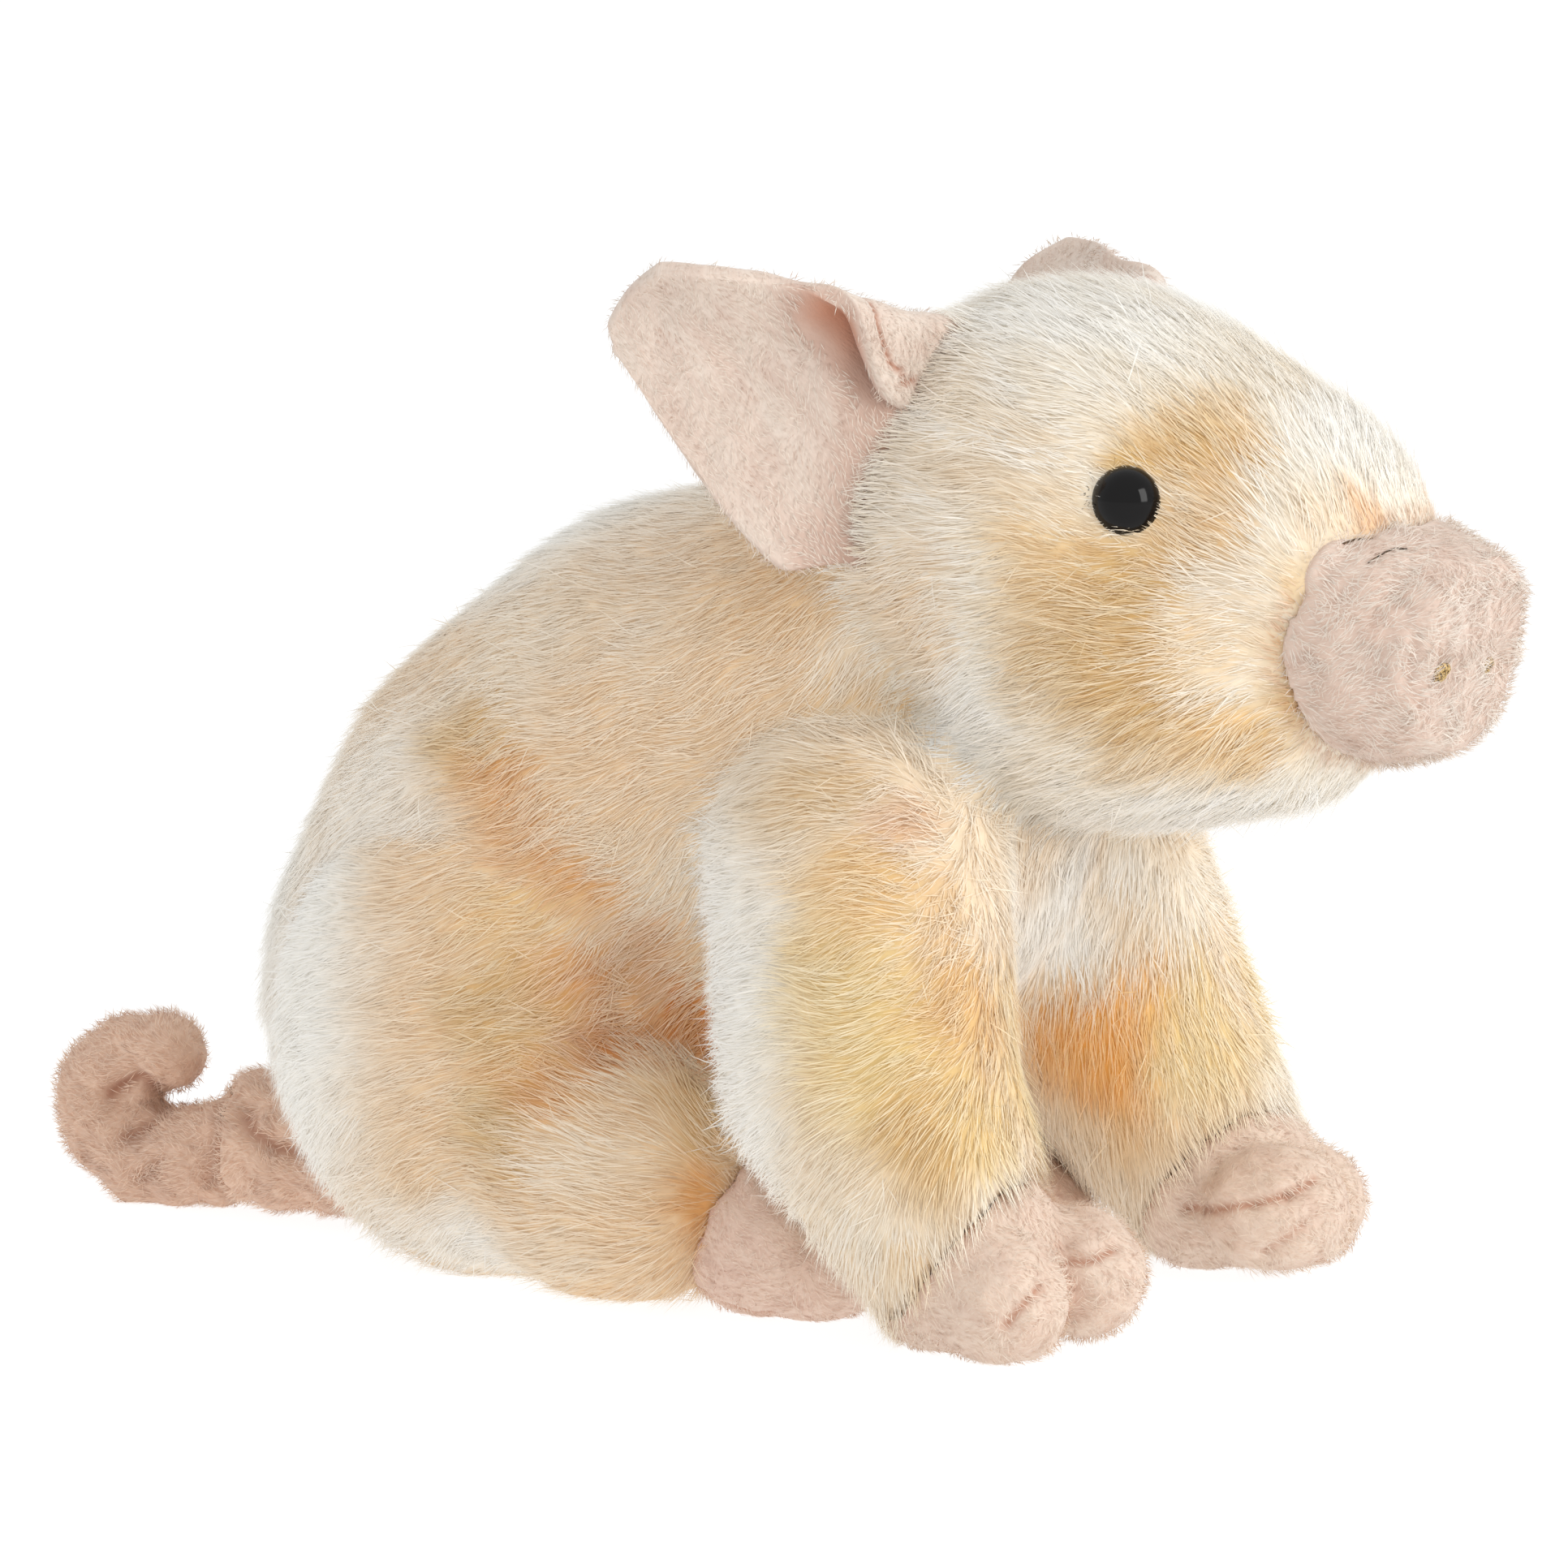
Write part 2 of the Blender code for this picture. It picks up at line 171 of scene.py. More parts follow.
def ripples(points: np.ndarray, wavelength: float, seed: int) -> np.ndarray:
    """Three random fields, as a vector for each place."""
    return np.stack([ripple(points, wavelength, seed + axis) for axis in range(3)], axis=1)


def tree_of(*pieces: bpy.types.Object) -> BVHTree:
    """A search tree over some pieces that sit at the origin."""
    points, faces = [], []
    for piece in pieces:
        first = len(points)
        points += points_of(piece.data).tolist()
        faces += [[first + corner for corner in face.vertices] for face in piece.data.polygons]
    return BVHTree.FromPolygons(points, faces)


def tree_over(points: np.ndarray, mesh: bpy.types.Mesh) -> BVHTree:
    """A search tree over a mesh's faces, with its points at the given places."""
    return BVHTree.FromPolygons(points.tolist(), [list(face.vertices) for face in mesh.polygons])


@dataclass
class Frame:
    """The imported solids, and the plane that parts the toy's two sides."""

    nodes: dict[str, bpy.types.Object]
    middle: float

    @classmethod
    def load(cls) -> Frame:
        """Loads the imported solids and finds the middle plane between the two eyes."""
        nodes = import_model()["nodes"]
        corners = [corner for side in ("left", "right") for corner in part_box(f"eye_{side}")]
        return cls(nodes, sum(corner.y for corner in corners) / len(corners))

    def to_place(self, points: np.ndarray) -> tuple[np.ndarray, np.ndarray]:
        """Turns points in metres into places (x, out, z) in millimetres, and the side of each."""
        across = points[:, 1] - self.middle
        places = np.stack([points[:, 0], np.abs(across), points[:, 2]], axis=1) / MM
        return places, np.where(across < 0, -1, 1)

    def to_point(self, place: Triple, side: Side) -> Vector:
        """The point in metres of a place (x, out, z) on one side of the toy."""
        x, out, z = place
        return Vector((x * MM, self.middle + out * MM * side.value, z * MM))

    def tree(self, *names: str) -> BVHTree:
        """A search tree over some of the solids."""
        return tree_of(*(self.nodes[name] for name in names))


def mesh_from_arrays(name: str, points: np.ndarray, triangles: np.ndarray) -> bpy.types.Mesh:
    """Makes a smooth mesh of many small joined shapes, such as tufts.

    Args:
        name: The mesh's name.
        points: Corner places in metres, one a row.
        triangles: Three corner numbers a row.

    Returns:
        The mesh.
    """
    mesh = bpy.data.meshes.new(name)
    mesh.vertices.add(len(points))
    mesh.vertices.foreach_set("co", points.astype(np.float32).ravel())
    mesh.loops.add(triangles.size)
    mesh.loops.foreach_set("vertex_index", triangles.astype(np.int32).ravel())
    mesh.polygons.add(len(triangles))
    mesh.polygons.foreach_set("loop_start", np.arange(0, triangles.size, 3, dtype=np.int32))
    mesh.update(calc_edges=True)
    mesh.shade_smooth()
    return mesh


def write_value(mesh: bpy.types.Mesh, name: str, values: np.ndarray) -> None:
    """Stores one number for each point of a mesh."""
    attribute = mesh.attributes.new(name, "FLOAT", "POINT")
    attribute.data.foreach_set("value", values.astype(np.float32))


def write_colour(mesh: bpy.types.Mesh, name: str, colours: np.ndarray) -> None:
    """Stores one linear colour for each point of a mesh."""
    attribute = mesh.attributes.new(name, "FLOAT_COLOR", "POINT")
    filled = np.concatenate([colours, np.ones((len(colours), 1))], axis=1)
    attribute.data.foreach_set("color", filled.astype(np.float32).ravel())


def write_vector(mesh: bpy.types.Mesh, name: str, vectors: np.ndarray) -> None:
    """Stores one vector for each point of a mesh."""
    attribute = mesh.attributes.new(name, "FLOAT_VECTOR", "POINT")
    attribute.data.foreach_set("vector", vectors.astype(np.float32).ravel())


def read_rows(collection: bpy.types.bpy_prop_collection, name: str, width: int, kind: type) -> np.ndarray:
    """Reads one property of each item of a mesh's collection, a row for each item."""
    flat = np.empty(len(collection) * width, kind)
    collection.foreach_get(name, flat)
    return flat.reshape(-1, width)


def points_of(mesh: bpy.types.Mesh) -> np.ndarray:
    """The places of a mesh's points."""
    return read_rows(mesh.vertices, "co", 3, np.float32).astype(float)


def normals_of(mesh: bpy.types.Mesh) -> np.ndarray:
    """The normals of a mesh's points."""
    return read_rows(mesh.vertex_normals, "vector", 3, np.float32).astype(float)


def place_points(mesh: bpy.types.Mesh, points: np.ndarray) -> None:
    """Moves a mesh's points to new places."""
    mesh.vertices.foreach_set("co", points.astype(np.float32).ravel())
    mesh.update()


def relax(points: np.ndarray, edges: np.ndarray, rounds: int, share: float = 0.5) -> np.ndarray:
    """Moves each point towards the mean of its neighbours.

    Args:
        points: Places, one a row.
        edges: Pairs of point numbers.
        rounds: How often to do it.
        share: How far to go each time, from 0 to 1.

    Returns:
        The relaxed places.
    """
    total = len(points)
    counts = np.maximum(np.bincount(edges.ravel(), minlength=total), 1)
    for _ in range(rounds):
        means = [
            (
                np.bincount(edges[:, 0], points[edges[:, 1], axis], total)
                + np.bincount(edges[:, 1], points[edges[:, 0], axis], total)
            )
            / counts
            for axis in range(points.shape[1])
        ]
        points = points + share * (np.stack(means, axis=1) - points)
    return points


def nearest(tree: BVHTree, points: np.ndarray) -> tuple[np.ndarray, np.ndarray, np.ndarray]:
    """The nearest surface point, its normal and its distance, for each point."""
    found = [tree.find_nearest(Vector(point)) for point in points]
    surface = np.array([hit[0] for hit in found]).reshape(-1, 3)
    normal = np.array([hit[1] for hit in found]).reshape(-1, 3)
    distance = np.array([hit[3] for hit in found])
    return surface, normal, distance


def encloses(tree: BVHTree, point: Vector) -> bool:
    """Whether a point lies inside a closed surface: a ray from it crosses an odd number of faces."""
    way = Vector((0.31, 0.22, 0.92)).normalized()
    crossings = 0
    hit = tree.ray_cast(point, way)[0]
    while hit is not None and crossings < 40:
        crossings += 1
        hit = tree.ray_cast(hit + way * 0.002 * MM, way)[0]
    return crossings % 2 == 1


def link(name: str, mesh: bpy.types.Mesh) -> bpy.types.Object:
    """Puts a mesh in the scene as an object at the origin."""
    piece = bpy.data.objects.new(name, mesh)
    bpy.context.scene.collection.objects.link(piece)
    return piece


def freeze(piece: bpy.types.Object) -> None:
    """Applies all of an object's modifiers to its mesh."""
    graph = bpy.context.evaluated_depsgraph_get()
    mesh = bpy.data.meshes.new_from_object(piece.evaluated_get(graph))
    mesh.name = piece.name
    piece.modifiers.clear()
    piece.data = mesh


def cut_ball(frame: Frame, solid: str, middle: Vector, radius: float) -> bpy.types.Mesh:
    """The part of a solid that lies in a ball."""
    shape = bmesh.new()
    bmesh.ops.create_icosphere(shape, subdivisions=4, radius=radius)
    bmesh.ops.translate(shape, vec=middle, verts=shape.verts)
    mesh = bpy.data.meshes.new("ball")
    shape.to_mesh(mesh)
    shape.free()
    ball = link("ball", mesh)
    cut = ball.modifiers.new("inside the solid", "BOOLEAN")
    cut.operation = "INTERSECT"
    cut.object = frame.nodes[solid]
    freeze(ball)
    mesh = ball.data
    bpy.data.objects.remove(ball)
    return mesh


def remesh(
    frame: Frame,
    name: str,
    solids: tuple[str, ...],
    voxel: float,
    overlap: float,
    more: tuple[bpy.types.Mesh, ...] = (),
) -> bpy.types.Object:
    """Joins copies of solids into one closed, evenly divided surface.

    Args:
        frame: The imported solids.
        name: Name of the new object.
        solids: The solids to copy.
        voxel: Size of the new faces, in metres.
        overlap: How far each copy swells, in metres, so that solids that touch join.
        more: Other closed meshes to join in.

    Returns:
        The new object, with no modifiers left.
    """
    joined = bmesh.new()
    for source in (*(frame.nodes[solid].data for solid in solids), *more):
        copy = bmesh.new()
        copy.from_mesh(source)
        bmesh.ops.remove_doubles(copy, verts=copy.verts, dist=0.01 * MM)
        copy.normal_update()
        for point in copy.verts:
            point.co += point.normal * overlap
        scratch = bpy.data.meshes.new("scratch")
        copy.to_mesh(scratch)
        copy.free()
        joined.from_mesh(scratch)
        bpy.data.meshes.remove(scratch)
    mesh = bpy.data.meshes.new(name)
    joined.to_mesh(mesh)
    joined.free()
    piece = link(name, mesh)
    even = piece.modifiers.new("even faces", "REMESH")
    even.mode = "VOXEL"
    even.voxel_size = voxel
    freeze(piece)
    piece.data.materials.clear()
    piece.data.shade_smooth()
    return piece


def unwrap(piece: bpy.types.Object) -> None:
    """Gives a piece an unwrap of its own shape, under the name that the export bakes to."""
    piece.data.uv_layers.new(name=BAKE_MAP)
    bpy.context.view_layer.objects.active = piece
    piece.select_set(True)
    bpy.ops.object.mode_set(mode="EDIT")
    bpy.ops.mesh.select_all(action="SELECT")
    bpy.ops.uv.smart_project(angle_limit=math.radians(66), island_margin=0.004)
    bpy.ops.object.mode_set(mode="OBJECT")
    piece.select_set(False)


@dataclass
class Roots:
    """Where tufts grow from a piece."""

    at: np.ndarray
    normal: np.ndarray
    spot: np.ndarray
    carried: dict[str, np.ndarray]

    def __len__(self) -> int:
        """How many roots there are."""
        return len(self.at)

    def keep(self, chosen: np.ndarray) -> Roots:
        """Only the chosen roots."""
        carried = {name: values[chosen] for name, values in self.carried.items()}
        return Roots(self.at[chosen], self.normal[chosen], self.spot[chosen], carried)


def scatter(
    piece: bpy.types.Object,
    density: Callable[[np.ndarray, np.ndarray], np.ndarray],
    carried: dict[str, np.ndarray],
    rng: np.random.Generator,
) -> Roots:
    """Spreads roots evenly over a piece.

    Args:
        piece: The unwrapped piece.
        density: Gives the roots for each square metre from the middles of faces and their mean point numbers.
        carried: Values of the piece's points that each root takes on.
        rng: Draws the places.

    Returns:
        The roots, in the order of the faces.
    """
    mesh = piece.data
    mesh.calc_loop_triangles()
    corners = read_rows(mesh.loop_triangles, "vertices", 3, np.int32)
    loops = read_rows(mesh.loop_triangles, "loops", 3, np.int32)
    spots = read_rows(mesh.uv_layers[BAKE_MAP].uv, "vector", 2, np.float32)[loops]
    points, normals = points_of(mesh)[corners], normals_of(mesh)[corners]
    areas = np.linalg.norm(np.cross(points[:, 1] - points[:, 0], points[:, 2] - points[:, 0]), axis=1) / 2
    total = np.cumsum(areas * density(points.mean(axis=1), corners))
    count = int(total[-1])
    ticks = (np.arange(count) + rng.uniform(0, 1, count)) * total[-1] / count
    faces = np.minimum(np.searchsorted(total, ticks), len(areas) - 1)
    first, second = np.sqrt(rng.uniform(0, 1, count)), rng.uniform(0, 1, count)
    shares = np.stack([1 - first, first * (1 - second), first * second], axis=1)[:, :, None]
    kept = {name: values[corners[faces, 0]] for name, values in carried.items() if values.dtype.kind == "i"}
    mixed = {name: (values[corners[faces]] * shares[:, :, 0]).sum(axis=1) for name, values in carried.items()}
    return Roots(
        at=(points[faces] * shares).sum(axis=1),
        normal=unit((normals[faces] * shares).sum(axis=1)),
        spot=(spots[faces] * shares).sum(axis=1),
        carried=mixed | kept,
    )


@dataclass
class Tufts:
    """Many thin tufts on one piece: each is a closed spindle that bends once over its length."""

    roots: Roots
    lie: np.ndarray
    length: np.ndarray
    width: np.ndarray
    lift: tuple[np.ndarray, np.ndarray]
    tip_pull: np.ndarray | None = None
    knee: float = 0.4
    sunk: float = 0.25 * MM
    crown: float = 0.35
    roundness: float = 0.15
    push_reach: float = 4 * MM
    rise: np.ndarray | None = None
    own_shading: np.ndarray | None = None

    def middles(self) -> tuple[np.ndarray, np.ndarray, np.ndarray, np.ndarray]:
        """The middle line's root, knee and tip of each tuft, and the way across it."""
        normal = self.roots.normal
        lie = unit(self.lie - (self.lie * normal).sum(axis=1, keepdims=True) * normal)
        low, high = (angle[:, None] for angle in self.lift)
        length = self.length[:, None]
        root = self.roots.at - normal * self.sunk
        knee = root + (np.cos(low) * lie + np.sin(low) * normal) * length * self.knee
        tip = knee + (np.cos(high) * lie + np.sin(high) * normal) * length * (1 - self.knee)
        if self.tip_pull is not None:
            tip = tip + self.tip_pull - (self.tip_pull * normal).sum(axis=1, keepdims=True) * normal
        return root, knee, tip, np.cross(normal, lie)

    def push_out(self, tree: BVHTree, near: np.ndarray, middles: np.ndarray, clearance: float) -> np.ndarray:
        """Moves those points that lie in a neighbour back over its surface."""
        moved = middles.copy()
        chosen = np.flatnonzero(near)
        if len(chosen) == 0:
            return moved
        surface, normal, distance = nearest(tree, middles[chosen])
        over = ((middles[chosen] - surface) * normal).sum(axis=1)
        touching = (distance < self.push_reach) & (over < clearance)
        deep = touching & (over < 0)
        touching[deep] = [encloses(tree, Vector(point)) for point in middles[chosen[deep]]]
        moved[chosen[touching]] = (surface + normal * clearance)[touching]
        return moved

    def lift_over(self, ground: BVHTree, middles: np.ndarray, clearance: np.ndarray) -> np.ndarray:
        """Moves those points that dip under the surface in a hollow back over it."""
        surface, normal, distance = nearest(ground, middles)
        over = ((middles - surface) * normal).sum(axis=1)
        sunk = (over < clearance) & (distance < self.push_reach)
        return np.where(sunk[:, None], surface + normal * clearance[:, None], middles)

    def build(
        self,
        name: str,
        tint: np.ndarray,
        shade: np.ndarray,
        ground: BVHTree | None = None,
        clear: BVHTree | None = None,
        near: np.ndarray | None = None,
    ) -> bpy.types.Object:
        """Makes the tufts as one mesh.

        Args:
            name: Name of the piece.
            tint: Linear colour of each tuft.
            shade: How light each tuft is, from 0 to 1.
            ground: The surface that they grow from, where they could dip into it.
            clear: Neighbours that the tufts stay out of.
            near: Which tufts might touch them.

        Returns:
            The piece, with its colours, its run from root to tip and its bake map.
        """
        root, knee, tip, across = self.middles()
        if ground is not None:
            knee = self.lift_over(ground, knee, 0.3 * self.rise)
            tip = self.lift_over(ground, tip, 0.5 * self.rise)
        if clear is not None:
            knee = self.push_out(clear, near, knee, 0.5 * MM)
            tip = self.push_out(clear, near, tip, 0.9 * MM)
        for middles in (root, knee, tip):
            middles[:, 2] = np.maximum(middles[:, 2], FLOOR_CLEARANCE)
        up = np.cross(unit(tip - root), across)
        half = self.width[:, None] / 2
        rim = [knee - across * half, knee + across * half, knee + up * half * self.crown]
        points = np.stack([root, *rim, tip], axis=1)
        count, each = points.shape[:2]
        points[:, :, 2] = np.maximum(points[:, :, 2], FLOOR_CLEARANCE / 2)
        faces = []
        for corner, after in ((1, 2), (2, 3), (3, 1)):
            faces += [(after, corner, 0), (corner, after, 4)]
        faces = np.array(faces)
        triangles = faces[None] + np.arange(count)[:, None, None] * each
        mesh = mesh_from_arrays(name, points.reshape(-1, 3), triangles.reshape(-1, 3))
        steps = np.array([0, self.knee, self.knee, self.knee, 1])
        write_value(mesh, "along", np.tile(steps, count))
        write_value(mesh, "shade", np.repeat(shade, each))
        write_colour(mesh, "tint", np.repeat(tint, each, axis=0))
        self.write_bake_map(mesh, triangles, steps)
        self.soften(mesh, faces, across, up)
        return link(name, mesh)

    def write_bake_map(self, mesh: bpy.types.Mesh, triangles: np.ndarray, steps: np.ndarray) -> None:
        """Maps each tuft to a small patch at its root's place on the unwrap of what it grows from."""
        sideways = np.array([0.5, 0, 1, 0.5, 0.5])
        patch = (np.stack([sideways, steps], axis=1) - 0.5) * BAKE_PATCH
        spots = self.roots.spot[:, None, :] + patch[None]
        layer = mesh.uv_layers.new(name=BAKE_MAP)
        layer.uv.foreach_set("vector", spots.reshape(-1, 2)[triangles.reshape(-1)].astype(np.float32).ravel())

    def soften(self, mesh: bpy.types.Mesh, faces: np.ndarray, across: np.ndarray, up: np.ndarray) -> None:
        """Shades each tuft as the surface under it, turned a little to its two sides.

        Args:
            mesh: The tufts' mesh.
            faces: The corners of one tuft's faces, whose first two lie below.
            across: The way across each tuft.
            up: The way over each tuft.
        """
        turn = np.array([0, -1, 1, 0, 0])[faces.ravel()] * self.roundness
        over = self.roots.normal
        if self.own_shading is not None:
            over = over * (1 - self.own_shading[:, None]) + up * self.own_shading[:, None]
        corners = over[:, None] + across[:, None] * turn[None, :, None]
        below = corners[:, :6]
        corners[:, :6] = below - 2 * (below * up[:, None]).sum(axis=2, keepdims=True) * up[:, None]
        mesh.normals_split_custom_set(unit(corners).reshape(-1, 3).tolist())


@dataclass
class Graph:
    """A node tree that is written node by node."""

    tree: bpy.types.NodeTree

    def node(self, kind: str, inputs: dict | None = None, **settings: object) -> bpy.types.Node:
        """Adds a node.

        Args:
            kind: Blender's name of the node type, without ShaderNode.
            inputs: A value or another node's output for some of its inputs.
            settings: Its other properties.

        Returns:
            The node.
        """
        made = self.tree.nodes.new(f"ShaderNode{kind}")
        for name, value in settings.items():
            setattr(made, name, value)
        for name, value in (inputs or {}).items():
            if isinstance(value, bpy.types.NodeSocket):
                self.tree.links.new(value, made.inputs[name])
            else:
                made.inputs[name].default_value = value
        return made

    def math(self, operation: str, *values: float | bpy.types.NodeSocket) -> bpy.types.NodeSocket:
        """One step of arithmetic on numbers."""
        return self.node("Math", dict(enumerate(values)), operation=operation).outputs[0]

    def blend(self, factor: object, first: object, second: object, kind: str = "MIX") -> bpy.types.NodeSocket:
        """Mixes two colours."""
        inputs = {0: factor, 6: first, 7: second}
        return self.node("Mix", inputs, data_type="RGBA", blend_type=kind).outputs[2]

    def noise(self, vector: bpy.types.NodeSocket, scale: float, detail: float = 2.0) -> bpy.types.NodeSocket:
        """Cloudy noise from 0 to 1."""
        return self.node("TexNoise", {"Vector": vector, "Scale": scale, "Detail": detail}).outputs[0]

    def ramp(self, value: object, low: float, high: float, start: float, end: float) -> bpy.types.NodeSocket:
        """Maps the range from low to high smoothly to the range from start to end."""
        inputs = {0: value, 1: low, 2: high, 3: start, 4: end}
        return self.node("MapRange", inputs, interpolation_type="SMOOTHSTEP").outputs[0]


def opaque(colour: Triple) -> tuple[float, float, float, float]:
    """A colour with full alpha, as sockets take it."""
    return (*colour, 1.0)


def new_group(name: str, takes: dict[str, str], gives: dict[str, str]) -> tuple[Graph, dict, bpy.types.Node]:
    """Starts a shader node group.

    Args:
        name: Name of the group.
        takes: Its inputs, by name, with the kind of each.
        gives: Its outputs, by name, with the kind of each.

    Returns:
        The graph to write in, the group's inputs by name, and its output node.
    """
    tree = bpy.data.node_groups.new(name, "ShaderNodeTree")
    for names, way in ((takes, "INPUT"), (gives, "OUTPUT")):
        for label, kind in names.items():
            tree.interface.new_socket(label, in_out=way, socket_type=f"NodeSocket{kind}")
    start = tree.nodes.new("NodeGroupInput")
    end = tree.nodes.new("NodeGroupOutput")
    return Graph(tree), {label: start.outputs[label] for label in takes}, end


def fibre_group() -> bpy.types.NodeTree:
    """How a dyed fibre runs from a deep root to a pale tip, with small changes from one to the next."""
    graph, given, end = new_group(
        "dyed fibre",
        {"Tint": "Color", "Along": "Float", "Shade": "Float", "Root Depth": "Float", "Tip Bleach": "Float"},
        {"Color": "Color"},
    )
    deep = graph.node("Gamma", {"Color": given["Tint"], "Gamma": given["Root Depth"]}).outputs[0]
    bleached = graph.blend(given["Tip Bleach"], given["Tint"], opaque(tone(255, 249, 238)))
    run = graph.ramp(given["Along"], 0.0, 0.9, 0.0, 1.0)
    body = graph.blend(run, deep, bleached)
    light = graph.math("MULTIPLY_ADD", given["Shade"], 0.2, 0.88)
    shaded = graph.node("VectorMath", {0: body, "Scale": light}, operation="SCALE").outputs[0]
    graph.tree.links.new(shaded, end.inputs["Color"])
    return graph.tree


def nap_group() -> bpy.types.NodeTree:
    """Short brushed nap: cloudy patches of painted shade where it leans another way, fine grain, and darker
    seams and folds, partly painted shade.
    """
    graph, given, end = new_group(
        "brushed nap",
        {"Vector": "Vector", "Tint": "Color", "Stain": "Color", "Seam": "Float", "Grain": "Float"},
        {"Color": "Color", "Height": "Float"},
    )
    patches = graph.noise(given["Vector"], 170, 3)
    streaks = graph.noise(given["Vector"], 650, 3)
    grain = graph.noise(given["Vector"], given["Grain"], 2)
    # Painted shade: cloudy patches where the nap leans another way are darkened towards the darker tone.
    lean = graph.ramp(patches, 0.35, 0.68, 0.0, 1.0)
    fleck = graph.ramp(streaks, 0.3, 0.72, 0.0, 1.0)
    darker = graph.blend(0.42, given["Tint"], given["Stain"])
    base = graph.blend(graph.math("MULTIPLY", lean, 0.55), given["Tint"], darker)
    base = graph.blend(graph.math("MULTIPLY", fleck, 0.35), base, darker)
    base = graph.blend(graph.math("MULTIPLY", grain, 0.22), base, opaque(tone(255, 246, 238)))
    # Darker seams, with painted shade in folds, at rims and in the ear's hollow.
    sewn = graph.blend(given["Seam"], base, given["Stain"])
    height = graph.math("MULTIPLY_ADD", streaks, 0.6, graph.math("MULTIPLY", grain, 0.4))
    graph.tree.links.new(sewn, end.inputs["Color"])
    graph.tree.links.new(height, end.inputs["Height"])
    return graph.tree


@dataclass
class Finishes:
    """The shader groups, made once, and the materials that use them."""

    fibre: bpy.types.NodeTree = field(default_factory=fibre_group)
    nap: bpy.types.NodeTree = field(default_factory=nap_group)

    @staticmethod
    def start(name: str, **constants: object) -> tuple[bpy.types.Material, Graph, bpy.types.Node]:
        """A new material with a Principled shader whose constant inputs are set."""
        material = bpy.data.materials.new(name)
        material.use_nodes = True
        graph = Graph(material.node_tree)
        shader = next(node for node in graph.tree.nodes if node.type == "BSDF_PRINCIPLED")
        for label, value in constants.items():
            shader.inputs[label.replace("_", " ")].default_value = value
        return material, graph, shader

    def fibres(
        self,
        name: str,
        root_depth: float,
        tip_bleach: float,
        roughness: float = 0.6,
    ) -> bpy.types.Material:
        """Dyed pile or nap, coloured by what each tuft carries.

        Args:
            name: Name of the material.
            root_depth: Power that deepens the colour at the root.
            tip_bleach: How far the tip goes to white.
            roughness: The shader's roughness.

        Returns:
            The material.
        """
        material, graph, shader = self.start(name, Roughness=roughness, Specular_IOR_Level=0.35)
        labels = ("Tint", "Along", "Shade")
        marks = {label: graph.node("Attribute", attribute_name=label.lower()) for label in labels}
        group = graph.node("Group", node_tree=self.fibre)
        graph.tree.links.new(marks["Tint"].outputs["Color"], group.inputs["Tint"])
        graph.tree.links.new(marks["Along"].outputs["Fac"], group.inputs["Along"])
        graph.tree.links.new(marks["Shade"].outputs["Fac"], group.inputs["Shade"])
        group.inputs["Root Depth"].default_value = root_depth
        group.inputs["Tip Bleach"].default_value = tip_bleach
        graph.tree.links.new(group.outputs["Color"], shader.inputs["Base Color"])
        return material

    def velour(self, name: str, tint: Triple, stain: Triple) -> bpy.types.Material:
        """Brushed velour of one colour, darker in its seams, with painted shade in its folds, at its rims and
        in patches of its nap.
        """
        material, graph, shader = self.start(name, Roughness=0.85, Specular_IOR_Level=0.2, Sheen_Weight=0.25)
        place = graph.node("Attribute", attribute_name="flow").outputs["Vector"]
        # How dark each point is from seams and from painted shade.
        seam = graph.node("Attribute", attribute_name="seam").outputs["Fac"]
        group = graph.node("Group", node_tree=self.nap)
        graph.tree.links.new(place, group.inputs["Vector"])
        graph.tree.links.new(seam, group.inputs["Seam"])
        group.inputs["Tint"].default_value = opaque(tint)
        group.inputs["Stain"].default_value = opaque(stain)
        group.inputs["Grain"].default_value = 2400
        bump = graph.node("Bump", {"Height": group.outputs["Height"], "Strength": 0.55, "Distance": 0.0006})
        graph.tree.links.new(group.outputs["Color"], shader.inputs["Base Color"])
        graph.tree.links.new(bump.outputs[0], shader.inputs["Normal"])
        return material

    def plastic(self) -> bpy.types.Material:
        """Glossy black plastic with a faint haze of handling in its gloss."""
        material, graph, shader = self.start("domed black plastic", Specular_IOR_Level=0.2)
        place = graph.node("TexCoord").outputs["Object"]
        haze = graph.ramp(graph.noise(place, 260, 3), 0.35, 0.75, 0.05, 0.14)
        blackest, greyest = opaque((0.002, 0.002, 0.002)), opaque((0.006, 0.005, 0.005))
        depth = graph.blend(graph.noise(place, 90), blackest, greyest)
        graph.tree.links.new(haze, shader.inputs["Roughness"])
        graph.tree.links.new(depth, shader.inputs["Base Color"])
        return material

    def thread(self, name: str, light: Triple, dark: Triple, roughness: float) -> bpy.types.Material:
        """Spun thread: two tones that alternate in small flecks."""
        material, graph, shader = self.start(name, Specular_IOR_Level=0.5)
        place = graph.node("TexCoord").outputs["Object"]
        flecks = graph.noise(place, 2600, 2)
        colour = graph.blend(graph.ramp(flecks, 0.35, 0.65, 0.0, 1.0), opaque(dark), opaque(light))
        bump = graph.node("Bump", {"Height": flecks, "Strength": 0.5, "Distance": 0.0002})
        graph.tree.links.new(colour, shader.inputs["Base Color"])
        gloss = graph.ramp(flecks, 0.2, 0.8, roughness, roughness + 0.2)
        graph.tree.links.new(gloss, shader.inputs["Roughness"])
        graph.tree.links.new(bump.outputs[0], shader.inputs["Normal"])
        return material


@dataclass(frozen=True)
class Patch:
    """A soft patch of sprayed colour round one place, in millimetres."""

    at: Triple
    radii: Triple
    tint: Triple
    strength: float = 1.0
    side: Side = Side.BOTH

    def mask(self, places: np.ndarray, sides: np.ndarray) -> np.ndarray:
        """How much of this patch each place gets, from 0 to its strength."""
        distance = np.linalg.norm((places - np.array(self.at)) / np.array(self.radii), axis=1)
        mask = self.strength * (1 - smooth_step(0.3, 1.15, distance))
        return mask if self.side is Side.BOTH else mask * (sides == self.side.value)


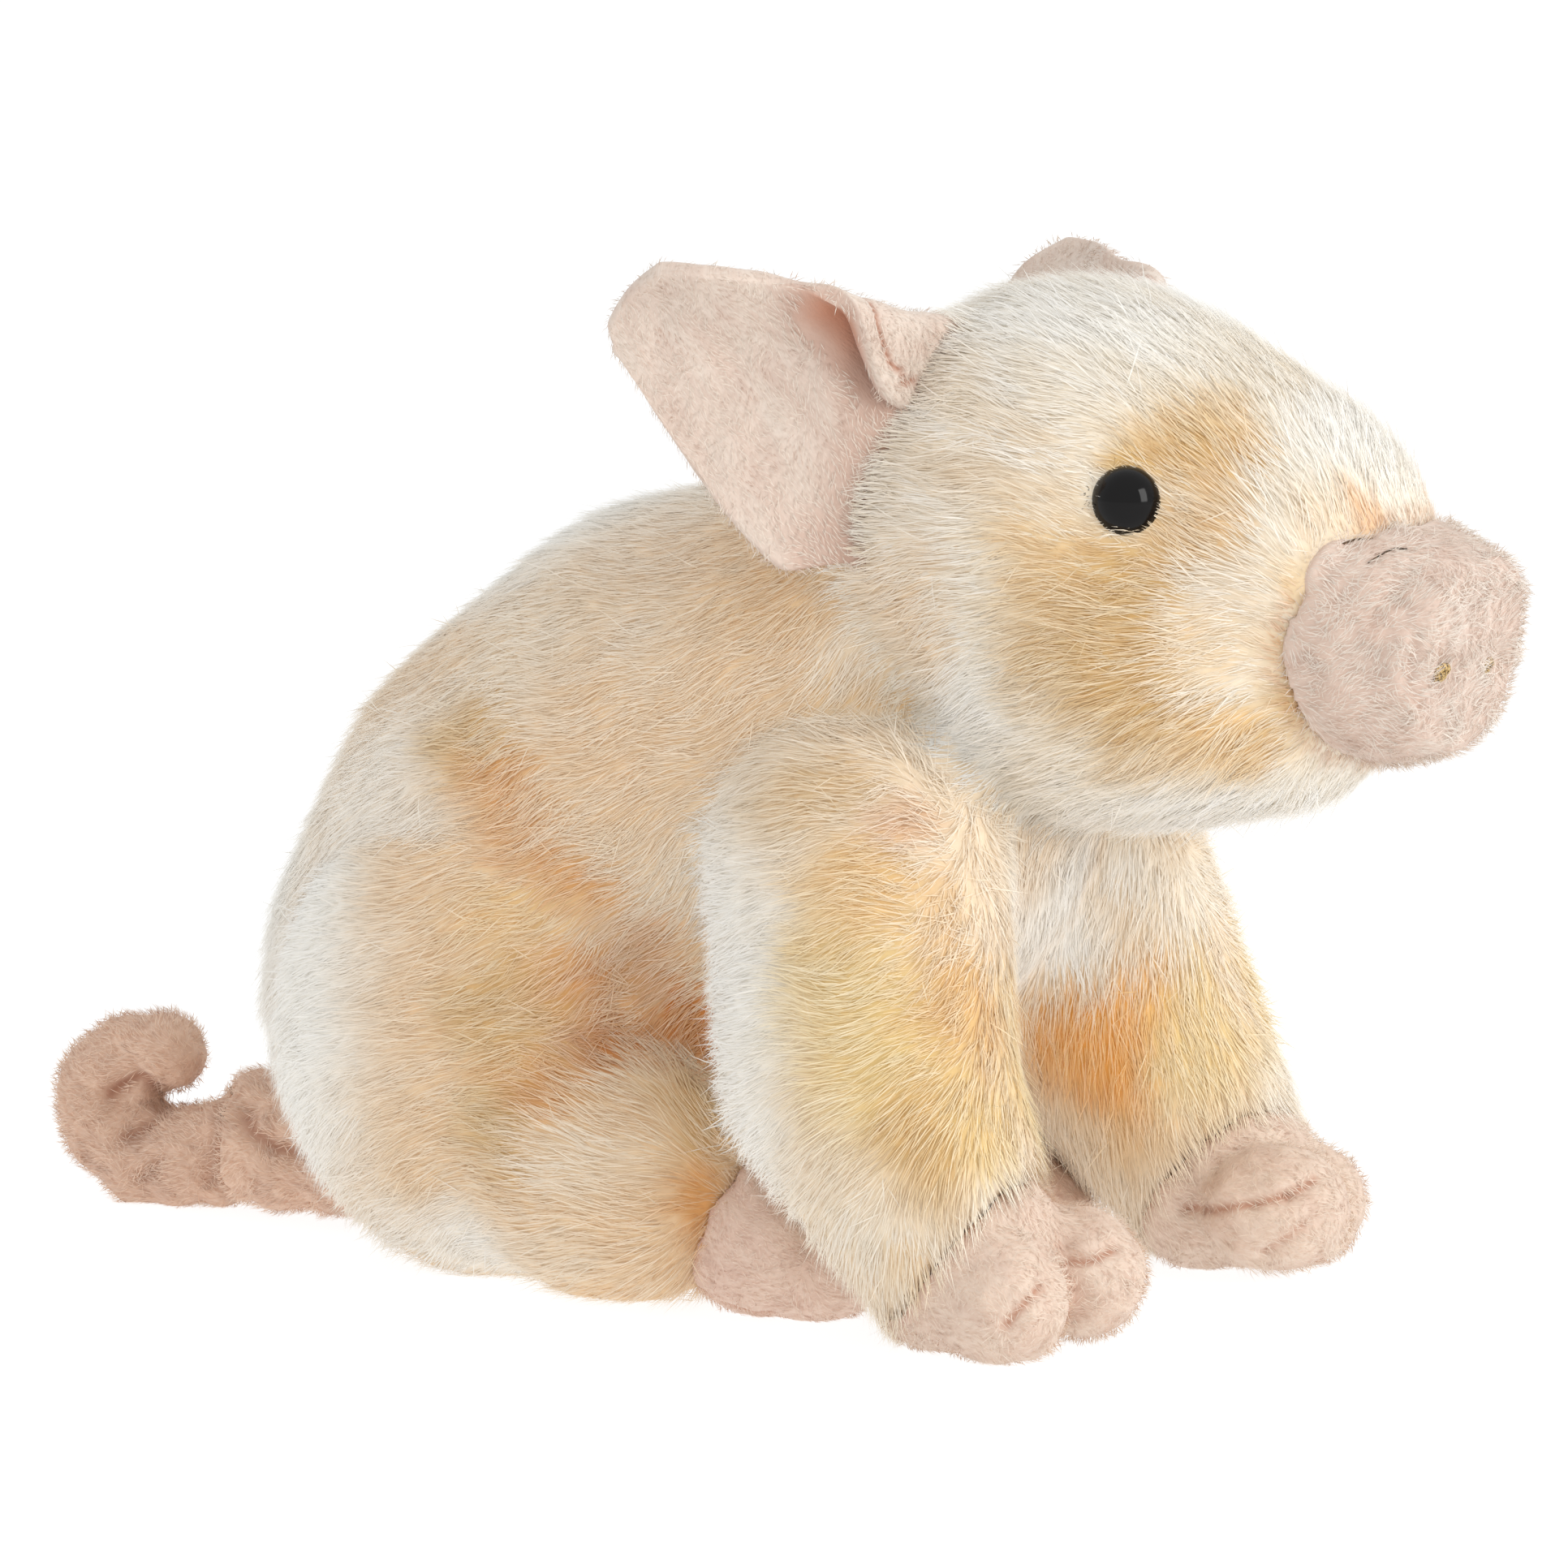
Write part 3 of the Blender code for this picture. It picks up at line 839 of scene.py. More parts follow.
@dataclass(frozen=True)
class Guide:
    """The way the pile is brushed round one place: both as (x, out, z)."""

    at: Triple
    lie: Triple


@dataclass(frozen=True)
class Pile:
    """How the pile of one sewn part grows, lies and is sprayed. Lengths are in millimetres."""

    length: float
    density: float
    base: Triple
    guides: tuple[Guide, ...]
    patches: tuple[Patch, ...]
    contrast: float = 0.4
    reach: float = 15.0

    def lie(self, places: np.ndarray, sides: np.ndarray) -> np.ndarray:
        """The brushed direction at each place, in the frame of the solids."""
        total = np.zeros_like(places)
        for guide in self.guides:
            distance = np.linalg.norm(places - np.array(guide.at), axis=1)
            weight = np.exp(-((distance / self.reach) ** 2) / 2) + 1e-4 / (1 + distance)
            total += weight[:, None] * unit(np.array([guide.lie]))
        outwards = smooth_step(0, 8, places[:, 1])
        total[:, 1] *= sides * outwards
        return unit(total)

    def colour(self, points: np.ndarray, places: np.ndarray, sides: np.ndarray) -> np.ndarray:
        """The sprayed colour at each place, with uneven edges to the patches."""
        strayed = places + ripples(points, 22 * MM, 40) * 2.2 + ripples(points, 7 * MM, 50) * 0.9
        colours = np.tile(np.array(self.base), (len(places), 1))
        for patch in self.patches:
            share = patch.mask(strayed, sides)[:, None]
            colours = colours * (1 - share) + np.array(patch.tint) * share
        return colours


PILES = {
    Part.HEAD: Pile(
        length=8.6,
        density=1.95,
        contrast=0.9,
        base=PALE,
        guides=(
            Guide((118, 23, 115), (-1.0, -0.3, 0.05)),
            Guide((130, 8, 141), (0.2, 0.1, 0.97)),
            Guide((120, 6, 150), (-0.75, -0.1, 0.6)),
            Guide((107, 26, 150), (-0.9, -0.2, 0.25)),
            Guide((84, 8, 172), (-1.0, -0.1, 0.1)),
            Guide((55, 13, 165), (-0.9, -0.1, -0.3)),
            Guide((75, 40, 148), (-1.0, 0.0, 0.05)),
            Guide((98, 36, 128), (-1.0, -0.1, 0.08)),
            Guide((90, 39, 114), (-1.0, 0.0, -0.05)),
            Guide((72, 36, 104), (-0.75, 0.0, -0.65)),
            Guide((100, 32, 100), (-0.9, 0.0, -0.35)),
            Guide((92, 18, 88), (-0.9, -0.1, -0.45)),
            Guide((115, 10, 93), (-0.95, -0.2, -0.1)),
        ),
        patches=(
            Patch((84, 20, 172), (40, 30, 14), WHITE, 0.9),
            Patch((126, 0, 150), (16, 22, 16), WHITE, 0.9),
            Patch((100, 10, 88), (40, 34, 13), WHITE, 0.9),
            Patch((70, 36, 104), (12, 16, 18), WHITE, 0.9),
            Patch((58, 36, 122), (14, 14, 18), BEIGE, 0.7),
            Patch((75, 40, 149), (18, 12, 13), CREAM, 0.7),
            Patch((87, 39, 131), (13, 12, 14), SAND, 0.8),
            Patch((108, 25, 151), (20, 13, 9), SAND, 1.0),
            Patch((106, 27, 150), (12, 12, 6), GOLD, 0.5),
            Patch((99, 35, 128), (19, 14, 13), GOLD, 1.0),
            Patch((97, 37, 114), (18, 14, 16), GOLD, 0.95),
            Patch((103, 32, 105), (19, 12, 12), GOLD, 0.95),
            Patch((112, 25, 101), (12, 12, 9), SAND, 0.9),
            Patch((109, 30, 139), (10, 10, 9), APRICOT, 0.7),
            Patch((116, 27, 125), (6, 10, 14), CREAM, 0.7),
            # Darker gold beside the snout's edge and above the eye: painted shade where the fur folds in.
            Patch((121, 23, 112), (5, 8, 14), GOLD, 0.8),
            Patch((97, 33, 149), (8, 8, 4), GOLD, 1.0),
            Patch((116, 21, 149), (8, 10, 5), SAND, 0.7),
            Patch((126, 18, 138), (7, 7, 6), CREAM, 0.8),
            Patch((124, 23, 131), (5, 7, 6), SAND, 0.6),
            Patch((112, 29, 118), (7, 8, 8), SAND, 0.5),
            Patch((130, 13, 140), (4, 5, 4), ORANGE, 0.5),
        ),
    ),
    Part.TORSO: Pile(
        length=9.2,
        density=1.6,
        base=BEIGE,
        guides=(
            Guide((55, 28, 105), (-0.35, -0.1, -0.9)),
            Guide((66, 6, 80), (-0.1, -0.1, -1.0)),
            Guide((58, 18, 62), (-0.05, 0.0, -1.0)),
            Guide((30, 34, 122), (-0.8, 0.0, -0.55)),
            Guide((5, 40, 100), (-0.95, 0.0, -0.25)),
            Guide((16, 40, 75), (-0.75, 0.0, -0.6)),
            Guide((-20, 42, 85), (-0.95, 0.0, -0.35)),
            Guide((0, 8, 138), (-1.0, 0.0, -0.1)),
            Guide((-40, 18, 112), (-0.85, -0.1, -0.5)),
            Guide((-65, 8, 75), (-0.55, -0.2, -0.8)),
            Guide((-78, 8, 35), (-0.3, -0.3, -0.9)),
        ),
        patches=(
            Patch((-80, 0, 55), (48, 70, 75), WHITE, 1.0),
            Patch((-30, 0, 128), (75, 34, 30), WHITE, 1.0),
            Patch((-48, 40, 85), (22, 20, 28), WHITE, 0.7),
            Patch((-25, 34, 110), (26, 18, 20), PALE, 0.6),
            Patch((16, 40, 76), (20, 18, 13), CREAM, 0.8),
            # Gold, orange and rust along the hip crease: sprayed colour with painted shade in the crease,
            # deepest at its lower end.
            Patch((-28, 40, 97), (11, 12, 11), GOLD, 0.8),
            Patch((-22, 43, 89), (11, 12, 10), ORANGE, 0.6),
            Patch((-15, 44, 81), (11, 12, 10), ORANGE, 0.65),
            Patch((-6, 43, 71), (11, 12, 10), ORANGE, 0.7),
            Patch((5, 39, 60), (12, 12, 11), RUST_SHADE, 0.5),
            Patch((13, 37, 48), (13, 14, 12), RUST_SHADE, 1.0),
            Patch((30, 34, 123), (20, 14, 12), APRICOT, 0.2),
            Patch((0, 34, 118), (22, 14, 14), PALE, 0.4),
            Patch((47, 34, 112), (10, 10, 10), PALE, 0.5),
            Patch((50, 34, 100), (16, 16, 14), GOLD, 0.4),
            # Orange in the recess where the foreleg meets the chest: painted shade.
            Patch((62, 40, 88), (12, 12, 12), ORANGE, 0.6),
            Patch((63, 0, 62), (30, 26, 34), WHITE, 0.9),
            Patch((67, 17, 87), (12, 12, 10), CREAM, 0.5),
        ),
    ),
    Part.FORELEG: Pile(
        length=8.2,
        density=1.65,
        base=CREAM,
        guides=(
            Guide((32, 50, 66), (-0.95, 0.2, -0.25)),
            Guide((45, 61, 50), (-1.0, 0.0, -0.15)),
            Guide((60, 60, 60), (-1.0, -0.1, -0.15)),
            Guide((72, 58, 45), (-0.9, -0.3, -0.2)),
            Guide((60, 53, 78), (-0.8, -0.2, -0.5)),
            Guide((80, 48, 50), (-0.3, 0.9, -0.3)),
            Guide((70, 26, 50), (-0.1, 0.1, -1.0)),
            Guide((62, 65, 34), (-0.8, 0.1, -0.6)),
            Guide((66, 65, 20), (0.25, -0.1, -0.95)),
            Guide((76, 63, 20), (0.5, -0.2, -0.85)),
            Guide((87, 50, 27), (0.7, 0.0, -0.7)),
            Guide((70, 26, 24), (0.5, 0.2, -0.85)),
            Guide((45, 56, 22), (-0.9, 0.0, -0.4)),
        ),
        patches=(
            Patch((28, 52, 62), (24, 26, 40), WHITE, 1.0),
            Patch((43, 60, 45), (15, 16, 36), WHITE, 0.9),
            Patch((62, 60, 62), (18, 18, 24), YELLOW, 0.8),
            Patch((60, 55, 77), (14, 14, 12), SAND, 0.9),
            Patch((48, 51, 94), (14, 12, 12), GOLD, 0.5),
            Patch((70, 58, 50), (16, 16, 20), YELLOW, 0.9),
            Patch((77, 47, 58), (12, 12, 18), APRICOT, 0.8, Side.RIGHT),
            Patch((73, 46, 72), (10, 10, 12), APRICOT, 0.5, Side.RIGHT),
            # Rust in the same recess between chest and foreleg: painted shade.
            Patch((64, 46, 88), (9, 9, 8), RUST_SHADE, 0.4),
            Patch((76, 60, 38), (12, 12, 12), GOLD, 0.9),
            Patch((83, 50, 40), (10, 12, 12), YELLOW, 0.8),
            Patch((66, 64, 22), (16, 14, 9), PALE, 0.7),
            Patch((87, 50, 29), (12, 14, 8), PALE, 0.9),
            Patch((74, 64, 19), (7, 7, 6), SAND, 0.5),
            Patch((77, 30, 46), (15, 14, 22), YELLOW, 0.9),
            Patch((71, 24, 50), (11, 10, 14), AMBER, 0.5),
            Patch((62, 20, 40), (17, 12, 15), AMBER, 0.85),
            Patch((66, 22, 26), (17, 12, 8), APRICOT, 0.7),
            Patch((71, 25, 21), (14, 12, 6), CREAM, 0.7),
            Patch((70, 20, 75), (9, 9, 9), WHITE, 0.7),
            Patch((58, 14, 62), (10, 9, 10), WHITE, 1.0),
            Patch((87, 50, 40), (9, 14, 28), PALE, 1.0, Side.LEFT),
            Patch((76, 32, 68), (14, 14, 12), PALE, 0.9, Side.LEFT),
        ),
    ),
    Part.HAUNCH: Pile(
        length=8.8,
        density=1.45,
        base=BEIGE,
        guides=(
            Guide((-50, 48, 60), (-0.95, -0.1, -0.15)),
            Guide((-50, 46, 25), (-0.8, -0.1, -0.6)),
            Guide((-15, 52, 50), (-0.85, 0.0, -0.5)),
            Guide((0, 44, 57), (-0.6, -0.1, -0.8)),
            Guide((0, 53, 38), (-0.75, -0.1, 0.6)),
            Guide((8, 57, 27), (-0.9, 0.0, 0.25)),
            Guide((5, 54, 8), (-0.85, 0.0, -0.5)),
            Guide((25, 46, 28), (-0.8, -0.1, 0.3)),
        ),
        patches=(
            Patch((-62, 45, 50), (30, 40, 60), WHITE, 1.0),
            Patch((-28, 46, 8), (30, 20, 12), WHITE, 0.8),
            Patch((-11, 52, 50), (13, 14, 14), GOLD, 0.8),
            Patch((-14, 48, 68), (14, 12, 12), SAND, 0.8),
            # Orange and rust in the crease between thigh and belly: sprayed colour with painted shade in the
            # crease.
            Patch((0, 46, 55), (13, 14, 13), ORANGE, 0.6),
            Patch((6, 40, 58), (10, 12, 10), RUST_SHADE, 0.45),
            Patch((5, 44, 45), (10, 12, 6), RUST_SHADE, 0.9),
            Patch((-14, 54, 32), (10, 12, 13), GOLD, 0.8),
            Patch((-4, 53, 40), (16, 12, 6), ORANGE, 0.7),
            Patch((4, 57, 26), (13, 12, 10), CREAM, 0.7),
            Patch((2, 55, 9), (16, 12, 8), CREAM, 0.6),
            Patch((23, 46, 34), (9, 12, 11), APRICOT, 0.7),
            Patch((25, 49, 20), (6, 9, 9), ORANGE, 0.8),
        ),
    ),
}

VELOUR_SOLIDS = (
    "snout",
    "ear_left",
    "ear_right",
    "forefoot_left",
    "forefoot_right",
    "hindfoot_left",
    "hindfoot_right",
    "tail_root",
)
EYE_SOLIDS = ("eye_left", "eye_right")


@dataclass
class Skin:
    """The sewn fabric under the long pile, as one closed surface inside the furry solids."""

    frame: Frame
    voxel: float = 1.9 * MM
    overlap: float = 0.7 * MM
    pile_depth: float = 1.7 * MM
    seam_depth: float = 0.7 * MM
    seam_slope: float = 0.15
    eye_depth: float = 0.9 * MM
    floor_depth: float = 1.0 * MM
    steps: int = 6
    piece: bpy.types.Object = None
    depth: np.ndarray = None
    part: np.ndarray = None

    def wanted_depth(self, points: np.ndarray) -> np.ndarray:
        """How far the fabric lies under the tips of the pile: less at velour seams, eyes and the floor."""
        velour = nearest(self.frame.tree(*VELOUR_SOLIDS), points)[2]
        eyes = nearest(self.frame.tree(*EYE_SOLIDS), points)[2]
        depth = np.minimum(self.pile_depth, self.seam_depth + self.seam_slope * velour)
        depth = np.minimum(depth, self.eye_depth + self.seam_slope * eyes)
        return np.minimum(depth, self.floor_depth + 0.8 * np.maximum(points[:, 2], 0))

    def name_parts(self, points: np.ndarray) -> np.ndarray:
        """The number of the sewn part that each point belongs to."""
        distances = [nearest(self.frame.tree(*part.value), points)[2] for part in Part]
        return np.argmin(np.stack(distances), axis=0)

    def build(self, finishes: Finishes) -> bpy.types.Object:
        """Joins the furry solids, draws the joined surface in by the pile's depth and sprays it."""
        solids = tuple(solid for part in Part for solid in part.value)
        self.piece = remesh(self.frame, "pile_fabric", solids, self.voxel, self.overlap)
        mesh = self.piece.data
        edges = read_rows(mesh.edges, "vertices", 2, np.int32)
        outside = points_of(mesh)
        reach = tree_over(outside, mesh)
        place_points(mesh, relax(outside, edges, 4))
        wanted = self.wanted_depth(outside)
        self.part = self.name_parts(outside)
        for _ in range(self.steps):
            normals = unit(relax(normals_of(mesh), edges, 3))
            moved = points_of(mesh) - normals * (wanted[:, None] / self.steps)
            place_points(mesh, relax(moved, edges, 1))
        unwrap(self.piece)
        points = points_of(mesh)
        self.depth = np.maximum(nearest(reach, points)[2] - self.overlap, 0.5 * MM)
        places, sides = self.frame.to_place(points)
        colours = np.zeros_like(points)
        for number, part in enumerate(Part):
            chosen = self.part == number
            colours[chosen] = PILES[part].colour(points[chosen], places[chosen], sides[chosen])
        write_colour(mesh, "tint", colours)
        write_value(mesh, "along", np.zeros(len(points)))
        write_value(mesh, "shade", 0.5 + 0.3 * ripple(points, 4 * MM, 70))
        mesh.materials.append(finishes.fibres("pile fabric", root_depth=1.35, tip_bleach=0.0, roughness=0.9))
        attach(self.piece, BODY)
        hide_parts(*solids)
        return self.piece


@dataclass(frozen=True)
class CoatPiece:
    """One part of the long pile that is made as a mesh of its own."""

    name: str
    part: Part
    side: Side
    low: float = -1.0
    high: float = 1.0


COAT_PIECES = tuple(
    CoatPiece(f"{name}_{side.name.lower()}", part, side, low, high)
    for side in (Side.LEFT, Side.RIGHT)
    for name, part, low, high in (
        ("head", Part.HEAD, -1.0, 1.0),
        ("back", Part.TORSO, 75 * MM, 1.0),
        ("belly", Part.TORSO, -1.0, 75 * MM),
        ("foreleg", Part.FORELEG, -1.0, 1.0),
        ("haunch", Part.HAUNCH, -1.0, 1.0),
    )
)


@dataclass(frozen=True)
class Layer:
    """One layer of the long pile.

    Its share is of the part's density, and its length and reach are shares of the part's pile length and
    depth. Its width, and how deep its roots are sunk in the fabric, are in metres. The strays are the share
    of tufts that stand away from the rest.
    """

    name: str
    share: float
    length: float
    reach: float
    sunk: float
    width: float
    pull: float
    root_depth: float
    tip_bleach: float
    strays: float


LAYERS = (
    Layer("down", 0.5, 0.65, 0.35, 0.8 * MM, 0.27 * MM, 0.06, root_depth=1.25, tip_bleach=0.05, strays=0.0),
    Layer("pile", 0.62, 0.95, 1.1, 0.45 * MM, 0.15 * MM, 0.15, root_depth=1.12, tip_bleach=0.12, strays=0.05),
    Layer("guard", 0.13, 1.1, 1.4, 0.36 * MM, 0.2 * MM, 0.3, root_depth=1.05, tip_bleach=0.35, strays=0.1),
)


def covered(tree: BVHTree, points: np.ndarray, reach: float = 8 * MM) -> np.ndarray:
    """Which points lie inside the pieces of a search tree, near their surface."""
    surface, normal, distance = nearest(tree, points)
    inside = (((points - surface) * normal).sum(axis=1) < 0) & (distance < reach)
    inside[inside] = [encloses(tree, Vector(point)) for point in points[inside]]
    return inside


@dataclass
class Surroundings:
    """What lies round the tufts: the fabric they grow from, what they stay out of, the eyes and the snout."""

    ground: BVHTree
    clear: BVHTree
    eyes: BVHTree
    snout: BVHTree


@dataclass
class Coat:
    """The long pile: fine tufts that rise from the fabric, bend over and lie the way they are brushed."""

    frame: Frame
    skin: Skin
    velour: list[bpy.types.Object]
    finishes: Finishes
    seed: int = 7
    clump_size: float = 3.0 * MM
    eye_reach: tuple[float, float] = (5 * MM, 13 * MM)
    snout_reach: tuple[float, float] = (1 * MM, 9 * MM)
    border_reach: tuple[float, float] = (1 * MM, 7 * MM)
    border_shading: float = 0.9
    streak_stretch: float = 0.8

    def density(self, centres: np.ndarray, corners: np.ndarray) -> np.ndarray:
        """Tufts for each square metre of fabric, fewer where the toy sits on them."""
        numbers = self.skin.part[corners[:, 0]]
        wanted = np.choose(numbers, [PILES[part].density for part in Part]) / MM**2
        wanted = wanted * (0.45 + 0.55 * smooth_step(2 * MM, 9 * MM, centres[:, 2]))
        return wanted * 1

    def clumps(self, points: np.ndarray) -> np.ndarray:
        """The way from each point to the middle of the clump that it leans into."""
        turn = np.array(Matrix.Rotation(0.7, 3, Vector((1, 2, 3))))
        turned = (points + ripples(points, 11 * MM, 90) * 1.2 * MM) @ turn
        middle = (np.floor(turned / self.clump_size) + 0.5) * self.clump_size
        return (middle - turned) @ turn.T

    def streaks(self, points: np.ndarray, lie: np.ndarray) -> np.ndarray:
        """How much deeper (over 0) or paler (under 0) each place is, in streaks along its lie."""
        drawn = points - (points * lie).sum(axis=1, keepdims=True) * lie * self.streak_stretch
        wave = 0.6 * ripple(drawn, 3.2 * MM, 120, 14) + 0.55 * ripple(drawn, 8 * MM, 130)
        return 0.5 * smooth_step(0.1, 1.3, wave) - 0.45 * smooth_step(0.0, 1.2, -wave)

    def build(self) -> list[bpy.types.Object]:
        """Roots tufts all over the fabric and makes them layer by layer and piece by piece."""
        trees = Surroundings(
            ground=tree_of(self.skin.piece),
            clear=tree_of(*self.velour, *(self.frame.nodes[eye] for eye in EYE_SOLIDS)),
            eyes=self.frame.tree(*EYE_SOLIDS),
            snout=self.frame.tree("snout"),
        )
        carried = {"depth": self.skin.depth, "part": self.skin.part.astype(int)}
        made = []
        for layer in LAYERS:
            rng = np.random.default_rng(self.seed + LAYERS.index(layer))
            material = self.finishes.fibres(f"long {layer.name}", layer.root_depth, layer.tip_bleach)
            roots = scatter(
                self.skin.piece,
                lambda centres, corners: self.density(centres, corners) * layer.share,
                carried,
                rng,
            )
            roots = roots.keep(~covered(trees.clear, roots.at))
            numbers = roots.carried["part"]
            side_of_root = np.sign(roots.at[:, 1] - self.frame.middle)
            for wanted in COAT_PIECES:
                chosen = (
                    (numbers == list(Part).index(wanted.part))
                    & (side_of_root == wanted.side.value)
                    & (roots.at[:, 2] > wanted.low)
                    & (roots.at[:, 2] <= wanted.high)
                )
                piece = self.build_piece(layer, wanted, roots.keep(chosen), trees, rng)
                piece.data.materials.append(material)
                made.append(piece)
        return made

    def build_piece(
        self,
        layer: Layer,
        wanted: CoatPiece,
        roots: Roots,
        trees: Surroundings,
        rng: np.random.Generator,
    ) -> bpy.types.Object:
        """Makes one piece of one layer of the coat.

        Args:
            layer: The layer.
            wanted: Which piece it is.
            roots: Its roots.
            trees: What lies round the tufts.
            rng: Draws the small differences between tufts.

        Returns:
            The piece, riding on the toy's body.
        """
        pile = PILES[wanted.part]
        count = len(roots)
        places, sides = self.frame.to_place(roots.at)
        stray = rng.uniform(0, 1, count) < layer.strays
        lie = pile.lie(places, sides)
        lie = lie + 0.2 * ripples(roots.at, 16 * MM, 10) + 0.12 * ripples(roots.at, 5 * MM, 20)
        lie = lie + rng.normal(0, 0.12, (count, 3)) * np.where(stray, 3.0, 1.0)[:, None]
        depth = roots.carried["depth"]
        from_snout = nearest(trees.snout, roots.at)[2]
        by_eye = smooth_step(*self.eye_reach, nearest(trees.eyes, roots.at)[2])
        by_snout = smooth_step(*self.snout_reach, from_snout)
        length = pile.length * MM * layer.length * (0.55 + 0.45 * by_eye) * (0.55 + 0.45 * by_snout)
        length = length * (1 + 0.1 * ripple(roots.at, 9 * MM, 30)) * rng.uniform(0.75, 1.15, count)
        rise = depth * layer.reach * (1 + 0.18 * ripple(roots.at, 7 * MM, 60)) * rng.lognormal(0, 0.22, count)
        slope = np.where(stray, 1.9, 1.0) * (rise + layer.sunk) / length
        by_border = 1 - smooth_step(*self.border_reach, nearest(trees.clear, roots.at)[2])
        bordering = by_border * smooth_step(3 * MM, 12 * MM, from_snout) * by_eye
        low = np.arcsin(np.clip(1.2 * slope, 0.06, 0.96)) + 0.5 * bordering
        high = np.arcsin(np.clip(0.86 * slope, 0.02, 0.9)) + 0.3 * bordering
        width = layer.width * rng.uniform(0.75, 1.25, count)
        pull = self.clumps(roots.at) * layer.pull
        tufts = Tufts(
            roots,
            lie,
            length,
            width,
            (low, high),
            pull,
            sunk=layer.sunk,
            rise=rise,
            own_shading=self.border_shading * by_border,
        )
        power = 1 + pile.contrast * self.streaks(roots.at, pile.lie(places, sides))
        colours = pile.colour(roots.at, places, sides) ** power[:, None]
        # Painted shade: the pile next to the snout's seam is darkened towards the rust tone.
        sewn = 0.45 * (1 - smooth_step(0.4 * MM, 1.8 * MM, from_snout))[:, None]
        colours = colours * (1 - sewn) + np.array(RUST_SHADE) * sewn
        shade = np.clip(0.5 + (0.08 + 0.12 * pile.contrast) * rng.normal(size=count), 0, 1)
        near = depth < self.skin.pile_depth
        piece = tufts.build(f"{layer.name}_{wanted.name}", colours, shade, trees.ground, trees.clear, near)
        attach(piece, BODY)
        LOG.info("%s: %d tufts, %d triangles", piece.name, count, len(piece.data.polygons))
        return piece


@dataclass(frozen=True)
class Crease:
    """A sewn join or a pulled-in fold along some places (x, out, z), in millimetres; its darkening is a dark
    sewn line or painted shade in the fold.
    """

    points: tuple[Triple, ...]
    depth: float
    width: float
    # How far it is darkened towards the darker tone: a dark sewn line, or painted shade in a fold.
    stain: float = 0.8


@dataclass(frozen=True)
class Velour:
    """One kind of velour: its colours and its nap. Lengths are in millimetres."""

    slot: Slot
    tint: Triple
    # The darker tone of its seams and of the painted shade in its folds, at its rims and in its nap.
    stain: Triple
    lie: Triple
    # How much painted shade darkens it where it meets the fur.
    rim_stain: float = 0.5
    voxel: float = 0.85
    lump: float = 0.28
    nap_length: float = 2.4
    nap_density: float = 1.8


def distance_to_path(points: np.ndarray, path: np.ndarray) -> np.ndarray:
    """The distance from each point to a path of straight stretches."""
    best = np.full(len(points), np.inf)
    for start, end in zip(path[:-1], path[1:]):
        along = end - start
        share = np.clip(((points - start) @ along) / max(along @ along, 1e-18), 0, 1)
        best = np.minimum(best, np.linalg.norm(points - start - share[:, None] * along, axis=1))
    return best


def laid_path(tree: BVHTree, points: list[Vector], step: float = 1 * MM) -> np.ndarray:
    """A path through some points that follows a surface."""
    path = []
    for start, end in zip(points[:-1], points[1:]):
        count = max(1, round((end - start).length / step))
        path += [tree.find_nearest(start.lerp(end, number / count))[0] for number in range(count)]
    return np.array([*path, tree.find_nearest(points[-1])[0]])


NAP_STRETCH = 0.65


